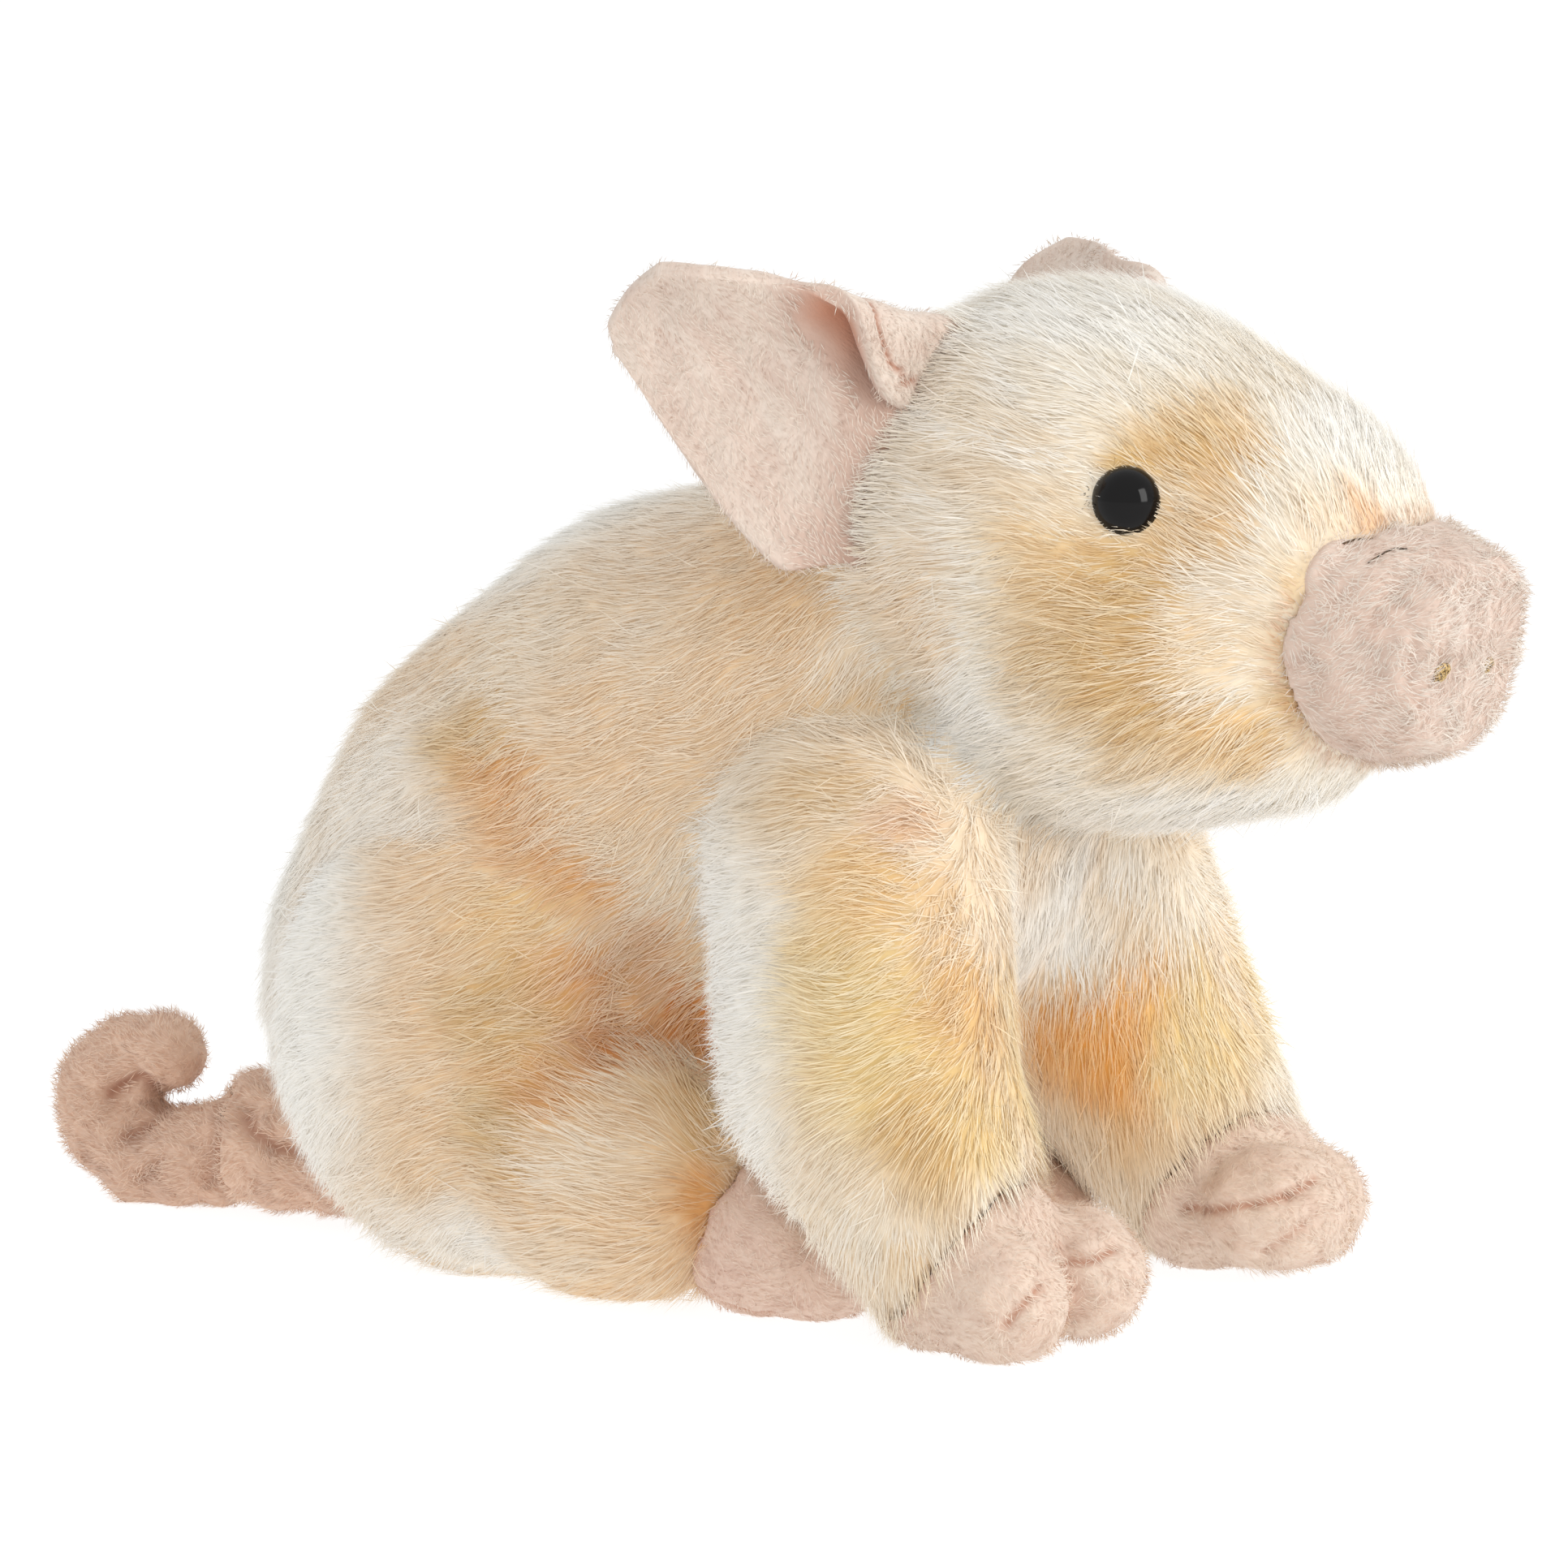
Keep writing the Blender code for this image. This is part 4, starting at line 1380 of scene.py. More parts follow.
@dataclass
class VelourPiece:
    """A stuffed or doubled velour piece that takes the place of one or more solids."""

    frame: Frame
    name: str
    solids: tuple[str, ...]
    kind: Velour
    side: Side
    stuffed: bool = True
    creases: tuple[Crease, ...] = ()
    onto: tuple[tuple[str, Triple, float], ...] = ()
    even_rim: float = 1 * MM

    def shape(self) -> tuple[bpy.types.Object, np.ndarray]:
        """The soft shape with its lumps and creases, and how dark each point is from seams and painted shade.

        A piece that reaches onto a furry solid is darkened evenly, and any other piece only near such solids,
        as painted shade where it meets the fur.
        """
        more = tuple(
            cut_ball(self.frame, solid, self.frame.to_point(middle, side), radius * MM)
            for solid, middle, radius in self.onto
            for side in (Side.LEFT, Side.RIGHT)
        )
        piece = remesh(self.frame, self.name, self.solids, self.kind.voxel * MM, 0.25 * MM, more)
        mesh = piece.data
        edges = read_rows(mesh.edges, "vertices", 2, np.int32)
        points = relax(points_of(mesh), edges, 3)
        place_points(mesh, points)
        normals = unit(relax(normals_of(mesh), edges, 2))
        swell = self.kind.lump * MM * (ripple(points, 12 * MM, 3) + 0.45 * ripple(points, 4 * MM, 5))
        furry = tuple(solid for part in Part for solid in part.value)
        if self.onto:
            rim = np.full(len(points), self.even_rim)
        else:
            rim = nearest(self.frame.tree(*furry), points)[2]
        # Painted shade near the fur, or an even darkening on a piece that reaches onto it.
        seam = self.kind.rim_stain * np.exp(-((rim / (1.6 * MM)) ** 2))
        tree = tree_over(points, mesh)
        for crease in self.creases:
            path = laid_path(tree, [self.frame.to_point(place, self.side) for place in crease.points])
            distance = distance_to_path(points, path)
            swell = swell - crease.depth * MM * np.exp(-((distance / (crease.width * MM)) ** 2))
            seam = np.maximum(seam, crease.stain * np.exp(-((distance / (0.7 * crease.width * MM)) ** 2)))
        moved = points + normals * swell[:, None]
        moved[:, 2] = np.maximum(moved[:, 2], FLOOR_CLEARANCE / 3)
        place_points(mesh, moved)
        return piece, seam

    def drawn(self, points: np.ndarray) -> np.ndarray:
        """Places in metres, drawn out along the nap."""
        x, out, z = self.kind.lie
        lie = unit(np.array([[x, out * self.side.value, z]]))
        return points - (points @ lie.T) * lie * NAP_STRETCH

    def flow(self, points: np.ndarray) -> np.ndarray:
        """Coordinates for the velour's pattern."""
        return self.drawn(points)

    def build(self, material: bpy.types.Material, nap: bpy.types.Material, seed: int) -> None:
        """Makes the piece and the nap that stands out from it.

        Args:
            material: The velour's material.
            nap: The material of its nap.
            seed: Draws the nap.
        """
        piece, seam = self.shape()
        mesh = piece.data
        unwrap(piece)
        write_value(mesh, "seam", seam)
        write_vector(mesh, "flow", self.flow(points_of(mesh)))
        mesh.materials.append(material)
        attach(piece, BODY)
        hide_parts(*self.solids)
        rng = np.random.default_rng(seed)
        wanted = self.kind.nap_density / MM**2 * 1
        roots = scatter(piece, lambda centres, corners: np.full(len(centres), wanted), {"seam": seam}, rng)
        roots = roots.keep(roots.carried["seam"] < 0.45)
        count = len(roots)
        x, out, z = self.kind.lie
        lie = np.array([[x, out * self.side.value, z]]) + 0.5 * ripples(roots.at, 9 * MM, 15)
        lie = lie + rng.normal(0, 0.35, (count, 3))
        length = self.kind.nap_length * MM * rng.uniform(0.6, 1.15, count)
        low = rng.normal(math.radians(34), math.radians(10), count)
        width = np.full(count, 0.16 * MM)
        tufts = Tufts(roots, lie, length, width, (low, low * 0.6), sunk=0.1 * MM)
        drawn = ripple(self.drawn(roots.at), 3 * MM, 160, 14) + 0.6 * ripple(roots.at, 9 * MM, 170)
        share = (0.42 * smooth_step(0.2, 1.6, drawn))[:, None]
        colours = np.array(self.kind.tint) * (1 - share) + np.array(self.kind.stain) * share
        fuzz = tufts.build(f"{self.name}_nap", colours, rng.uniform(0.2, 0.9, count))
        fuzz.data.materials.append(nap)
        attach(fuzz, BODY)
        LOG.info("%s: %d faces and %d nap tufts", self.name, len(mesh.polygons), count)


@dataclass(frozen=True)
class EarSheet:
    """The sizes of an ear in millimetres: a cupped sheet of two layers, folded down in front at the root."""

    along: Triple
    across: Triple = (0.6, 0.0, 0.8)
    root: Triple = (55.35, 34.0, 149.0)
    sunk: float = 0.05
    length: float = 54.4
    low: tuple[float, float] = (21.6, 25.9)
    high: float = 20.8
    tuck: float = 4.2
    flap: float = 15.5
    wall: float = 3.0
    cup: float = 5.0
    fold_radius: float = 2.8
    fold_turn: float = 176.0
    fold_end: float = 0.62
    lean: float = 37.0
    tucked_in: float = 5.5
    columns: tuple[tuple[float, float], ...] = ((0.0, 0.4), (0.4, 0.8), (0.8, 1.0))

    def below(self, s: np.ndarray) -> np.ndarray:
        """How far the sheet reaches down to its lower edge at the share s of the length."""
        root, widest = self.low
        width = root + (widest - root) * smooth_step(0, 0.2, s)
        return width * (1 - 0.87 * np.maximum(0.0, (s - 0.2) / 0.8) ** 1.35)

    def above(self, s: np.ndarray) -> tuple[np.ndarray, np.ndarray, np.ndarray]:
        """How far up the fold starts at the share s of the length, its turn and its flap's length."""
        start = self.high * np.sqrt(1 - np.maximum(0.0, s / 1.14) ** 3.9)
        start = start - self.tuck * (1 - smooth_step(0.15, 0.6, s))
        turn = math.radians(self.fold_turn) * (1 - smooth_step(0.2, self.fold_end, s))
        return start, turn, self.flap * (1 - smooth_step(0, 0.45, s))

    def spread(self, s: np.ndarray, t: np.ndarray) -> np.ndarray:
        """How far up the sheet a point lies, measured over the fold, at the share t of the width."""
        start, turn, flap = self.above(s)
        lengths = (start, turn * self.fold_radius, flap)
        shares = [np.clip((t - low) / (high - low), 0, 1) for low, high in self.columns]
        folded = sum(length * share for length, share in zip(lengths, shares))
        flat = smooth_step(0.4, self.fold_end, s)
        return folded * (1 - flat) + sum(lengths) * t * flat

    def sheet(self, s: np.ndarray, t: np.ndarray) -> tuple[np.ndarray, np.ndarray]:
        """Points of the middle sheet in millimetres from the root, and the way that the cup opens.

        Args:
            s: Share of the length from root to tip.
            t: From -1 at the lower edge to 1 at the front edge.

        Returns:
            The points as (x, out, z), and the opening's direction.
        """
        along = unit(np.array(self.along))
        across = np.array(self.across)
        across = unit(across - along * (across @ along))
        front = np.cross(along, across)
        start, fullest, _ = self.above(s)
        lower, upper = self.below(s) * t, self.spread(s, np.maximum(t, 0))
        hollow = self.cup * (1 - 0.4 * s) * smooth_step(0, 0.5, s)
        beyond = np.maximum(0.0, upper - start)
        turn = np.minimum(beyond / self.fold_radius, fullest)
        flap = beyond - turn * self.fold_radius
        wide = upper - beyond + self.fold_radius * np.sin(turn) + flap * np.cos(turn)
        deep = self.fold_radius * (1 - np.cos(turn)) + flap * np.sin(turn)
        deep = deep + hollow * np.minimum(1.0, upper / start) ** 2
        lean = math.radians(self.lean) * (1 - smooth_step(0, 0.5, s)) * smooth_step(0, 0.3, t)
        wide, deep = wide * np.cos(lean) + deep * np.sin(lean), deep * np.cos(lean) - wide * np.sin(lean)
        tucked = self.tucked_in * (1 - smooth_step(0, 0.18, s)) * smooth_step(0.25, 0.6, t)
        width = np.where(t < 0, lower, wide)
        depth = np.where(t < 0, self.cup * (lower / self.low[0]) ** 2, deep - tucked)
        reach = self.length * s * (1 - 0.05 * t * t * s)
        return reach[:, None] * along + width[:, None] * across + depth[:, None] * front, front


EAR_SHEETS = {Side.LEFT: EarSheet((-0.66, 0.60, 0.38)), Side.RIGHT: EarSheet((-0.71, 0.585, 0.40))}


@dataclass
class EarPiece(VelourPiece):
    """An ear: two layers of velour, sewn together and turned, with the hem sewn along the folded edge."""

    rows: int = 50
    columns: int = 64
    hem: float = 4.7
    streak_turn: float = 30.0

    def shares(self, mesh: bpy.types.Mesh) -> tuple[np.ndarray, np.ndarray]:
        """Each point's share of the length, and from lower to front edge."""
        stored = [mesh.attributes[name].data for name in ("length_share", "width_share")]
        return tuple(read_rows(data, "value", 1, np.float32)[:, 0].astype(float) for data in stored)

    def shape(self) -> tuple[bpy.types.Object, np.ndarray]:
        """The ear's sheet with its wall, its hem and painted shade in the hollow under its fold."""
        sheet = EAR_SHEETS[self.side]
        shape = bmesh.new()
        bmesh.ops.create_grid(shape, x_segments=self.rows, y_segments=self.columns, size=1)
        mesh = bpy.data.meshes.new(self.name)
        shape.to_mesh(mesh)
        shape.free()
        flat = points_of(mesh)
        s = (flat[:, 0] + 1) / 2 * (1 + sheet.sunk) - sheet.sunk
        t = flat[:, 1]
        points, front = sheet.sheet(s, t)
        waves = 0.7 * ripple(points * MM, 24 * MM, 61) + 0.25 * ripple(points * MM, 8 * MM, 62)
        points += front * waves[:, None]
        points = (points + np.array(sheet.root)) * MM
        points[:, 1] = self.frame.middle + points[:, 1] * self.side.value
        place_points(mesh, points)
        write_value(mesh, "length_share", s)
        write_value(mesh, "width_share", t)
        write_vector(mesh, "sheet_normal", normals_of(mesh))
        piece = link(self.name, mesh)
        wall = piece.modifiers.new("two layers", "SOLIDIFY")
        wall.thickness = sheet.wall * MM
        wall.offset = 0
        smooth = piece.modifiers.new("soft rim", "SUBSURF")
        smooth.levels = smooth.render_levels = 1
        freeze(piece)
        mesh = piece.data
        cleaned = bmesh.new()
        cleaned.from_mesh(mesh)
        bmesh.ops.recalc_face_normals(cleaned, faces=cleaned.faces)
        cleaned.to_mesh(mesh)
        cleaned.free()
        mesh.shade_smooth()
        s, t = self.shares(mesh)
        normals = normals_of(mesh)
        sheet_normals = read_rows(mesh.attributes["sheet_normal"].data, "vector", 3, np.float32)
        inner = smooth_step(-0.25, 0.25, (normals * sheet_normals).sum(axis=1) * self.side.value)
        start, turn, flap = sheet.above(s)
        upper = sheet.spread(s, np.maximum(t, 0))
        edge = start + turn * sheet.fold_radius + flap - upper
        wander = 0.35 * ripple(points_of(mesh), 5 * MM, 63)
        hem = np.exp(-(((edge - self.hem + wander) / 0.55) ** 2)) * (1 - inner) * (t > 0)
        hem = hem * (1 - smooth_step(0.36, 0.44, s))
        # Painted shade on the inner layer in the hollow under the flap.
        pocket_shade = smooth_step(-13.0, 1.0, upper - start + flap) * (1 - smooth_step(0.42, 0.66, s)) * inner
        gather = smooth_step(0.12, 0.4, s) * (0.55 + 0.45 * pocket_shade)
        place_points(mesh, points_of(mesh) - normals * (0.7 * MM * hem)[:, None])
        return piece, np.maximum(0.95 * hem, pocket_shade * (0.45 + 0.5 * gather))

    def flow(self, points: np.ndarray) -> np.ndarray:
        """Coordinates that follow the sheet, drawn out along the way it is brushed."""
        sheet = EAR_SHEETS[self.side]
        s, t = self.shares(bpy.data.objects[self.name].data)
        down = s * sheet.length
        over = np.where(t < 0, sheet.below(s) * t, sheet.spread(s, np.maximum(t, 0)))
        turn = math.radians(self.streak_turn)
        along = down * math.cos(turn) + over * math.sin(turn)
        across = over * math.cos(turn) - down * math.sin(turn)
        return np.stack([along * (1 - NAP_STRETCH), across, t * 0 + 30], axis=1) * MM


SNOUT_VELOUR = Velour(
    Slot.SNOUT,
    tint=tone(225, 212, 200),
    stain=tone(202, 160, 138),
    lie=(0.9, 0.0, 0.1),
    voxel=0.7,
    nap_length=3.4,
    nap_density=2.6,
)
EAR_VELOUR = Velour(
    Slot.EAR,
    tint=tone(221, 205, 191),
    stain=tone(176, 116, 88),
    lie=(0.36, -0.54, -0.76),
    rim_stain=0.2,
    nap_density=1.5,
)
FOREFOOT_VELOUR = Velour(
    Slot.FOOT,
    tint=tone(228, 206, 187),
    stain=tone(184, 130, 104),
    lie=(0.7, 0.2, -0.3),
    nap_length=3.0,
)
HINDFOOT_VELOUR = Velour(
    Slot.FOOT,
    tint=tone(230, 202, 182),
    stain=tone(184, 124, 100),
    lie=(0.8, 0.1, -0.3),
)
TAIL_VELOUR = Velour(
    Slot.TAIL,
    tint=tone(227, 189, 161),
    stain=tone(152, 96, 70),
    lie=(-0.7, 0.0, 0.2),
    lump=0.45,
    nap_length=3.2,
    nap_density=2.2,
)

DISC_SEAM = (
    (143.0, 18.1, 120.9),
    (141.7, 18.6, 115.4),
    (141.9, 17.8, 111.1),
    (142.4, 15.1, 108.0),
    (141.8, 7.3, 104.0),
)
DISC_RIM = (
    (145.0, 14.2, 127.5),
    (143.3, 17.2, 124.4),
    (141.3, 19.0, 120.2),
    (139.9, 19.6, 116.1),
    (141.0, 18.3, 111.1),
    (142.0, 15.8, 107.7),
)
GATHERS = (
    ((143.3, 17.2, 124.4), (135.0, 20.3, 127.6)),
    ((141.8, 18.6, 121.6), (132.5, 21.2, 123.0)),
    ((140.4, 19.4, 117.6), (130.5, 21.8, 118.0)),
    ((140.2, 19.3, 114.6), (131.5, 21.4, 112.6)),
    ((141.0, 18.3, 111.1), (133.5, 19.8, 106.4)),
    ((142.0, 15.8, 107.7), (136.0, 16.0, 102.2)),
)
# A crease's last number darkens it towards the darker tone: dark sewn lines at the disc, the slit and the
# stitched arcs, and painted shade in the fold left of the rim, the gathers and the nostril dimples.
SNOUT_CREASES = (
    Crease(DISC_SEAM, 0.9, 1.3, 0.5),
    Crease(DISC_RIM, -0.5, 1.8, 0.0),
    Crease(((139.1, 17.0, 129.3), (138.0, 18.9, 126.9), (136.4, 20.1, 124.9)), 0.9, 2.2, 0.35),
    Crease(((145.6, 15.0, 122.6), (145.1, 13.6, 119.4), (144.2, 12.0, 116.8)), 0.7, 0.8, 0.5),
    Crease(((129.0, 17.2, 135.0), (130.3, 14.8, 135.9), (131.9, 12.8, 136.0)), 0.6, 1.0, 0.4),
    Crease(
        ((133.5, 17.3, 132.1), (135.2, 14.9, 133.6), (136.5, 13.3, 134.1), (138.0, 11.9, 134.1)),
        0.6,
        1.0,
        0.4,
    ),
    Crease(((144.9, 11.0, 113.4), (144.9, 9.6, 113.2)), 1.0, 2.6, 0.2),
    Crease(((144.9, -9.8, 113.2), (144.9, -11.4, 113.4)), 1.9, 2.8, 0.2),
    *(Crease(path, 0.45, 1.0, 0.35) for path in GATHERS),
)
# Darkening along the toes' seams and the foot's creases: dark sewn lines with painted shade in their grooves.
FOREFOOT_CREASES = {
    Side.RIGHT: (
        Crease(((91.0, 61.3, 8.1), (92.3, 61.0, 9.8), (94.1, 59.3, 12.4), (95.4, 56.8, 14.5)), 1.1, 1.1),
        Crease(((93.9, 45.6, 17.2), (96.4, 44.7, 16.7), (98.2, 43.5, 17.2), (99.6, 40.5, 18.5)), 1.1, 1.1),
        Crease(
            ((91.9, 45.4, 18.6), (94.5, 46.8, 15.2), (95.3, 46.4, 10.5), (92.1, 42.3, 4.6)),
            1.4,
            1.8,
            0.4,
        ),
    ),
    Side.LEFT: (
        Crease(((75.9, 28.0, 12.5), (83.8, 24.9, 13.7), (91.3, 25.2, 15.5), (96.0, 28.1, 16.9)), 1.2, 1.2),
        Crease(((96.0, 28.1, 16.9), (98.2, 31.2, 18.7), (99.0, 33.2, 19.6)), 1.0, 1.1),
        Crease(((92.0, 27.3, 6.2), (96.1, 28.0, 9.4), (98.5, 29.4, 11.7)), 1.0, 1.3, 0.5),
    ),
}
# Darkening along the hind foot's crease: a dark sewn line with painted shade in its groove.
HINDFOOT_CREASES = (Crease(((19.4, 44.1, 3.9), (26.0, 43.4, 2.6), (32.8, 42.0, 0.7)), 1.1, 1.2),)
# The tail's creases are darkened towards the darker tone: painted shade in the curl's creases and at the tie.
TAIL_CREASES = (
    Crease(
        ((-131.9, 6.8, 20.4), (-125.7, 6.5, 23.7), (-124.5, 5.8, 23.0), (-124.2, 1.5, 20.3)),
        1.6,
        2.4,
        0.8,
    ),
    Crease(((-127.9, 8.2, 13.0), (-125.6, 6.7, 14.6), (-123.5, 4.8, 16.4)), 1.4, 2.2, 0.7),
    Crease(((-124.7, 8.2, 4.9), (-121.7, 8.7, 6.9), (-118.9, 8.9, 9.3)), 1.0, 2.0, 0.4),
    Crease(
        ((-107.0, 4.0, 22.0), (-106.5, 10.1, 18.1), (-107.3, 10.2, 12.9), (-108.0, 7.6, 4.0)),
        3.2,
        2.8,
        0.85,
    ),
    Crease(
        ((-98.1, 10.8, 19.7), (-96.1, 11.8, 17.3), (-91.2, 12.1, 14.6), (-85.0, 12.2, 14.1)),
        1.8,
        2.6,
        0.7,
    ),
)


@dataclass
class Eye:
    """A domed plastic eye with a soft shoulder and a collar that the pile hides."""

    frame: Frame
    side: Side
    radius: float = 6.0 * MM
    rise: float = 5.7 * MM
    collar: float = 1.6 * MM
    ring: int = 72
    rows: int = 26

    def build(self, material: bpy.types.Material) -> bpy.types.Object:
        """Spins the dome's outline round its axis, in place of the solid."""
        node = f"eye_{self.side.name.lower()}"
        low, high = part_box(node)
        middle = (low + high) / 2
        inner = middle.y - self.side.value * (high.y - low.y) / 2
        centre = Vector((middle.x, inner - self.side.value * 0.8 * MM, middle.z))
        axis = Vector((0, self.side.value, 0))
        shape = bmesh.new()
        outline = []
        for row in range(self.rows + 1):
            turn = math.pi / 2 * row / self.rows
            out = self.rise * max(0.0, math.cos(turn)) ** 0.96
            width = self.radius * math.sin(turn) ** 0.97
            outline.append(shape.verts.new(centre + axis * out + Vector((width, 0, 0))))
        for out, width in (
            (-0.4 * self.collar, self.radius * 0.985),
            (-self.collar, self.radius * 0.9),
            (-self.collar, 0),
        ):
            outline.append(shape.verts.new(centre + axis * out + Vector((width, 0, 0))))
        for first, second in zip(outline[:-1], outline[1:]):
            shape.edges.new((first, second))
        bmesh.ops.spin(
            shape,
            geom=shape.verts[:] + shape.edges[:],
            cent=centre,
            axis=axis,
            angle=2 * math.pi,
            steps=self.ring,
            use_merge=True,
        )
        bmesh.ops.remove_doubles(shape, verts=shape.verts, dist=0.01 * MM)
        bmesh.ops.recalc_face_normals(shape, faces=shape.faces)
        mesh = bpy.data.meshes.new(f"{node}_dome")
        shape.to_mesh(mesh)
        shape.free()
        mesh.shade_smooth()
        piece = link(f"{node}_dome", mesh)
        mesh.materials.append(material)
        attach(piece, BODY)
        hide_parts(node)
        return piece


def threads(name: str, paths: list[list[Vector]], radius: float) -> bpy.types.Object:
    """Makes threads along smooth paths, as one mesh.

    Args:
        name: Name of the piece.
        paths: The points that each thread runs through, in metres.
        radius: Half a thread's thickness.

    Returns:
        The piece.
    """
    curve = bpy.data.curves.new(name, "CURVE")
    curve.dimensions = "3D"
    curve.bevel_depth = radius
    curve.bevel_resolution = 2
    curve.resolution_u = 6
    curve.use_fill_caps = True
    for path in paths:
        spline = curve.splines.new("NURBS")
        spline.points.add(len(path) - 1)
        for point, place in zip(spline.points, path):
            point.co = (*place, 1)
        spline.use_endpoint_u = True
        spline.order_u = min(4, len(path))
    holder = bpy.data.objects.new(name, curve)
    bpy.context.scene.collection.objects.link(holder)
    graph = bpy.context.evaluated_depsgraph_get()
    mesh = bpy.data.meshes.new_from_object(holder.evaluated_get(graph))
    bpy.data.objects.remove(holder)
    shape = bmesh.new()
    shape.from_mesh(mesh)
    bmesh.ops.remove_doubles(shape, verts=shape.verts, dist=0.002 * MM)
    bmesh.ops.recalc_face_normals(shape, faces=shape.faces)
    shape.to_mesh(mesh)
    shape.free()
    mesh.name = name
    mesh.shade_smooth()
    return link(name, mesh)


@dataclass
class Knot:
    """A nostril: a small knot of wound thread, pulled into the nose disc."""

    side: Side
    turns: float = 4.0
    steps: int = 56
    squash: float = 0.72
    reach: float = 1.95 * MM
    thread_radius: float = 0.33 * MM
    inwards: tuple[float, float] = (1.6 * MM, 0.3 * MM)

    def build(self, material: bpy.types.Material) -> bpy.types.Object:
        """Winds the thread round the middle of the solid that it replaces."""
        node = f"nostril_{self.side.name.lower()}"
        low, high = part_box(node)
        centre = (low + high) / 2 - Vector((self.inwards[self.side is Side.RIGHT], 0, 0))
        across, up = Vector((0.1, 1, 0.2)).normalized(), Vector((0.2, -0.2, 1)).normalized()
        wound = []
        for step in range(self.steps + 1):
            share = step / self.steps
            turn = share * self.turns * 2 * math.pi
            radius = self.reach * (1 - 0.55 * share)
            lift = Vector((0.35 * MM * math.sin(2 * turn) + 0.7 * MM * share, 0, 0))
            sideways, upwards = radius * math.cos(turn), radius * self.squash * math.sin(turn)
            wound.append(centre + across * sideways + up * upwards + lift)
        crossed = [centre + (across + up * 0.4) * way * self.reach for way in (-1, -0.4, 0.4, 1)]
        rises = (-0.2, 0.75, 0.75, -0.2)
        crossed = [point + Vector((rise * MM, 0, 0)) for point, rise in zip(crossed, rises)]
        piece = threads(f"{node}_knot", [wound, crossed], self.thread_radius)
        piece.data.materials.append(material)
        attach(piece, BODY)
        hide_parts(node)
        return piece


@dataclass
class Stitches:
    """Short threads that run over or into a finished piece."""

    frame: Frame
    name: str
    on: str
    slot: Slot
    paths: tuple[tuple[Triple, ...], ...]
    radius: float = 0.16 * MM
    lift: float = 0.15 * MM
    side: Side = Side.RIGHT

    def build(self, material: bpy.types.Material) -> None:
        """Lays the threads on the piece."""
        mesh = bpy.data.objects[self.on].data
        tree = tree_over(points_of(mesh), mesh)
        laid = []
        for number, places in enumerate(self.paths):
            points = [self.frame.to_point(place, self.side) for place in places]
            path = laid_path(tree, points, 0.7 * MM)
            wander = ripples(path, 2.5 * MM, 200 + number) * 0.12 * MM
            places = [Vector(point) for point in path + wander]
            laid.append([place + tree.find_nearest(place)[1] * self.lift for place in places])
        piece = threads(self.name, laid, self.radius)
        piece.data.materials.append(material)
        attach(piece, BODY)


@dataclass
class Studio:
    """A plain white floor, soft light from all round and a camera where the photograph's was."""

    frame: Frame
    distance: float = 1.3
    azimuth: float = 31.5
    elevation: float = 6.6
    target: Triple = (-1.5, 19.96, 83.74)
    pixels_each_mm: float = 6.9
    sensor: float = 36.0
    floor_side: float = 80.0
    floor_glow: float = 0.9
    surround: float = 0.88

    def camera(self) -> None:
        """Aims the camera at the target from the photograph's angle."""
        turn, rise = math.radians(self.azimuth), math.radians(self.elevation)
        back = Vector((math.sin(turn) * math.cos(rise), -math.cos(turn) * math.cos(rise), math.sin(rise)))
        data = bpy.data.cameras.new("camera")
        data.sensor_width = self.sensor
        data.lens = self.pixels_each_mm * self.distance / MM * self.sensor / IMAGE_SIDE
        data.clip_end = 200
        camera = bpy.data.objects.new("camera", data)
        camera.location = self.frame.to_point(self.target, Side.LEFT) + back * self.distance
        camera.rotation_euler = (-back).to_track_quat("-Z", "Y").to_euler()
        bpy.context.scene.collection.objects.link(camera)
        bpy.context.scene.camera = camera

    def floor(self) -> None:
        """Lays the white floor."""
        shape = bmesh.new()
        bmesh.ops.create_grid(shape, x_segments=1, y_segments=1, size=self.floor_side / 2)
        mesh = bpy.data.meshes.new("floor")
        shape.to_mesh(mesh)
        shape.free()
        floor = link("floor", mesh)
        material, graph, shader = Finishes.start("lit white floor", Roughness=0.9, Specular_IOR_Level=0.0)
        shader.inputs["Emission Color"].default_value = opaque((1.0, 1.0, 1.0))
        shader.inputs["Emission Strength"].default_value = self.floor_glow
        place = graph.node("TexCoord").outputs["Object"]
        tint = graph.blend(graph.noise(place, 3.0), opaque((0.19, 0.19, 0.19)), opaque((0.21, 0.21, 0.21)))
        graph.tree.links.new(tint, shader.inputs["Base Color"])
        mesh.materials.append(material)

    def softbox(self, name: str, at: Triple, size: tuple[float, float], watts: float, tint: Triple) -> None:
        """Hangs one softbox that faces the toy."""
        data = bpy.data.lights.new(name, "AREA")
        data.shape = "RECTANGLE"
        data.size, data.size_y = size
        data.energy = watts
        data.color = tint
        light = bpy.data.objects.new(name, data)
        light.location = at
        light.rotation_euler = (Vector((0, 0, 0.08)) - Vector(at)).to_track_quat("-Z", "Y").to_euler()
        bpy.context.scene.collection.objects.link(light)

    def light(self) -> None:
        """Sets the white surround and the front softbox."""
        world = bpy.data.worlds.new("white surround")
        bpy.context.scene.world = world
        world.use_nodes = True
        surround = next(node for node in world.node_tree.nodes if node.type == "BACKGROUND")
        surround.inputs["Color"].default_value = opaque((0.975, 0.99, 1.0))
        surround.inputs["Strength"].default_value = self.surround
        self.softbox("front softbox", (1.36, -0.22, 0.62), (0.6, 0.9), 9.0, (1.0, 0.99, 0.97))
        bpy.context.scene.view_settings.view_transform = "Standard"
        bpy.context.scene.view_settings.look = "None"

    def build(self) -> None:
        """Sets up the studio."""
        self.camera()
        self.floor()
        self.light()


SNOUT_ONTO = (("head", (130.5, 16.0, 128.0), 8.0),)


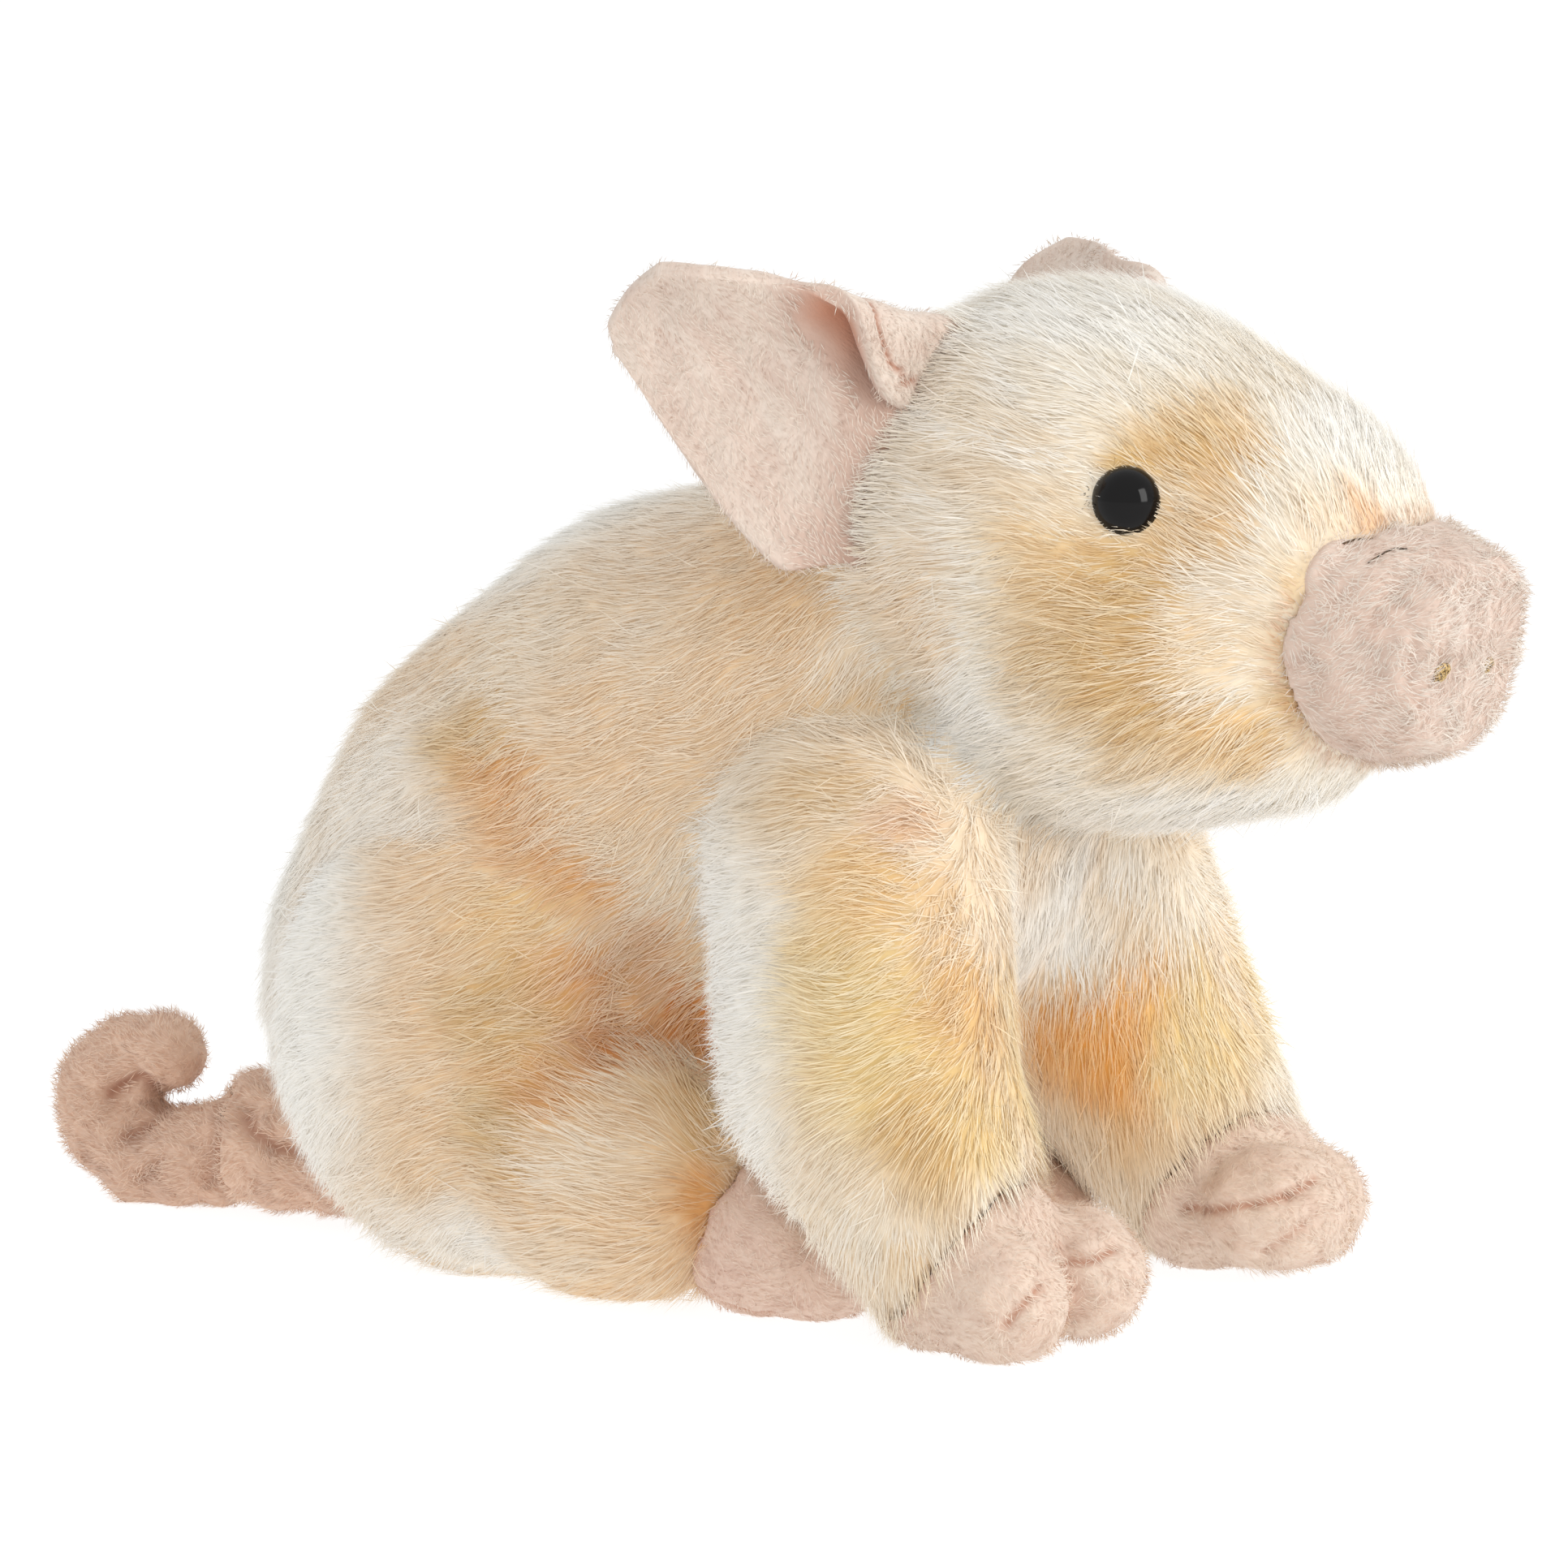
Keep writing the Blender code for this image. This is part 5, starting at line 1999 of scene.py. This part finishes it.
def build_velour(frame: Frame, finishes: Finishes) -> list[bpy.types.Object]:
    """Makes the snout, ears, feet and tail, and returns them without their nap."""
    tail = ("tail_root", "tail_curl", "tail_tip")
    wanted = [
        VelourPiece(
            frame,
            "snout_velour",
            ("snout",),
            SNOUT_VELOUR,
            Side.RIGHT,
            creases=SNOUT_CREASES,
            onto=SNOUT_ONTO,
        ),
        VelourPiece(frame, "tail_velour", tail, TAIL_VELOUR, Side.RIGHT, creases=TAIL_CREASES),
    ]
    for side in (Side.LEFT, Side.RIGHT):
        word = side.name.lower()
        fore, hind = f"forefoot_{word}", f"hindfoot_{word}"
        wanted += [
            EarPiece(frame, f"ear_{word}_velour", (f"ear_{word}",), EAR_VELOUR, side, stuffed=False),
            VelourPiece(
                frame,
                f"{fore}_velour",
                (fore,),
                FOREFOOT_VELOUR,
                side,
                creases=FOREFOOT_CREASES[side],
            ),
            VelourPiece(frame, f"{hind}_velour", (hind,), HINDFOOT_VELOUR, side, creases=HINDFOOT_CREASES),
        ]
    materials = {}
    for seed, piece in enumerate(wanted, start=100):
        kind = piece.kind
        if kind not in materials:
            label = piece.name.split("_")[0]
            materials[kind] = (
                finishes.velour(f"{label} velour", kind.tint, kind.stain),
                finishes.fibres(f"{label} nap", root_depth=1.15, tip_bleach=0.3, roughness=0.8),
            )
        piece.build(*materials[kind], seed)
    return [bpy.data.objects[piece.name] for piece in wanted]


SNOUT_STITCHES = (
    ((129.0, 17.2, 135.0), (130.3, 14.8, 135.9), (131.9, 12.8, 136.0)),
    ((129.0, 17.2, 135.0), (129.5, 16.4, 135.4), (129.9, 15.5, 135.7)),
    ((133.5, 17.3, 132.1), (135.2, 14.9, 133.6), (136.5, 13.3, 134.1), (138.0, 11.9, 134.1)),
    ((133.5, 17.3, 132.1), (134.2, 16.4, 132.7), (134.9, 15.4, 133.3)),
)
TAIL_STITCHES = (((-107.6, 1.0, 22.4), (-106.8, 5.0, 21.5), (-106.5, 9.0, 19.0)),)


def build_details(frame: Frame, finishes: Finishes) -> None:
    """Makes the eyes, the nostril knots and the dark stitches."""
    plastic = finishes.plastic()
    brass = finishes.thread("brass thread", tone(214, 180, 116), tone(84, 62, 36), 0.35)
    dark = finishes.thread("dark thread", tone(128, 104, 82), tone(52, 42, 32), 0.6)
    for side in (Side.LEFT, Side.RIGHT):
        Eye(frame, side).build(plastic)
        Knot(side).build(brass)
    Stitches(frame, "snout_stitches", "snout_velour", Slot.THREAD, SNOUT_STITCHES).build(dark)
    Stitches(frame, "tail_stitches", "tail_velour", Slot.THREAD, TAIL_STITCHES, 0.25 * MM).build(dark)


def main() -> None:
    """Builds the toy's looks round its solids, then the studio."""
    logging.basicConfig(level=logging.INFO, format="%(name)s: %(message)s")
    frame = Frame.load()
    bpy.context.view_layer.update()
    finishes = Finishes()
    skin = Skin(frame)
    skin.build(finishes)
    LOG.info("pile fabric: %d faces", len(skin.piece.data.polygons))
    velour = build_velour(frame, finishes)
    Coat(frame, skin, velour, finishes).build()
    build_details(frame, finishes)
    Studio(frame).build()


if __name__ == "__main__":
    main()
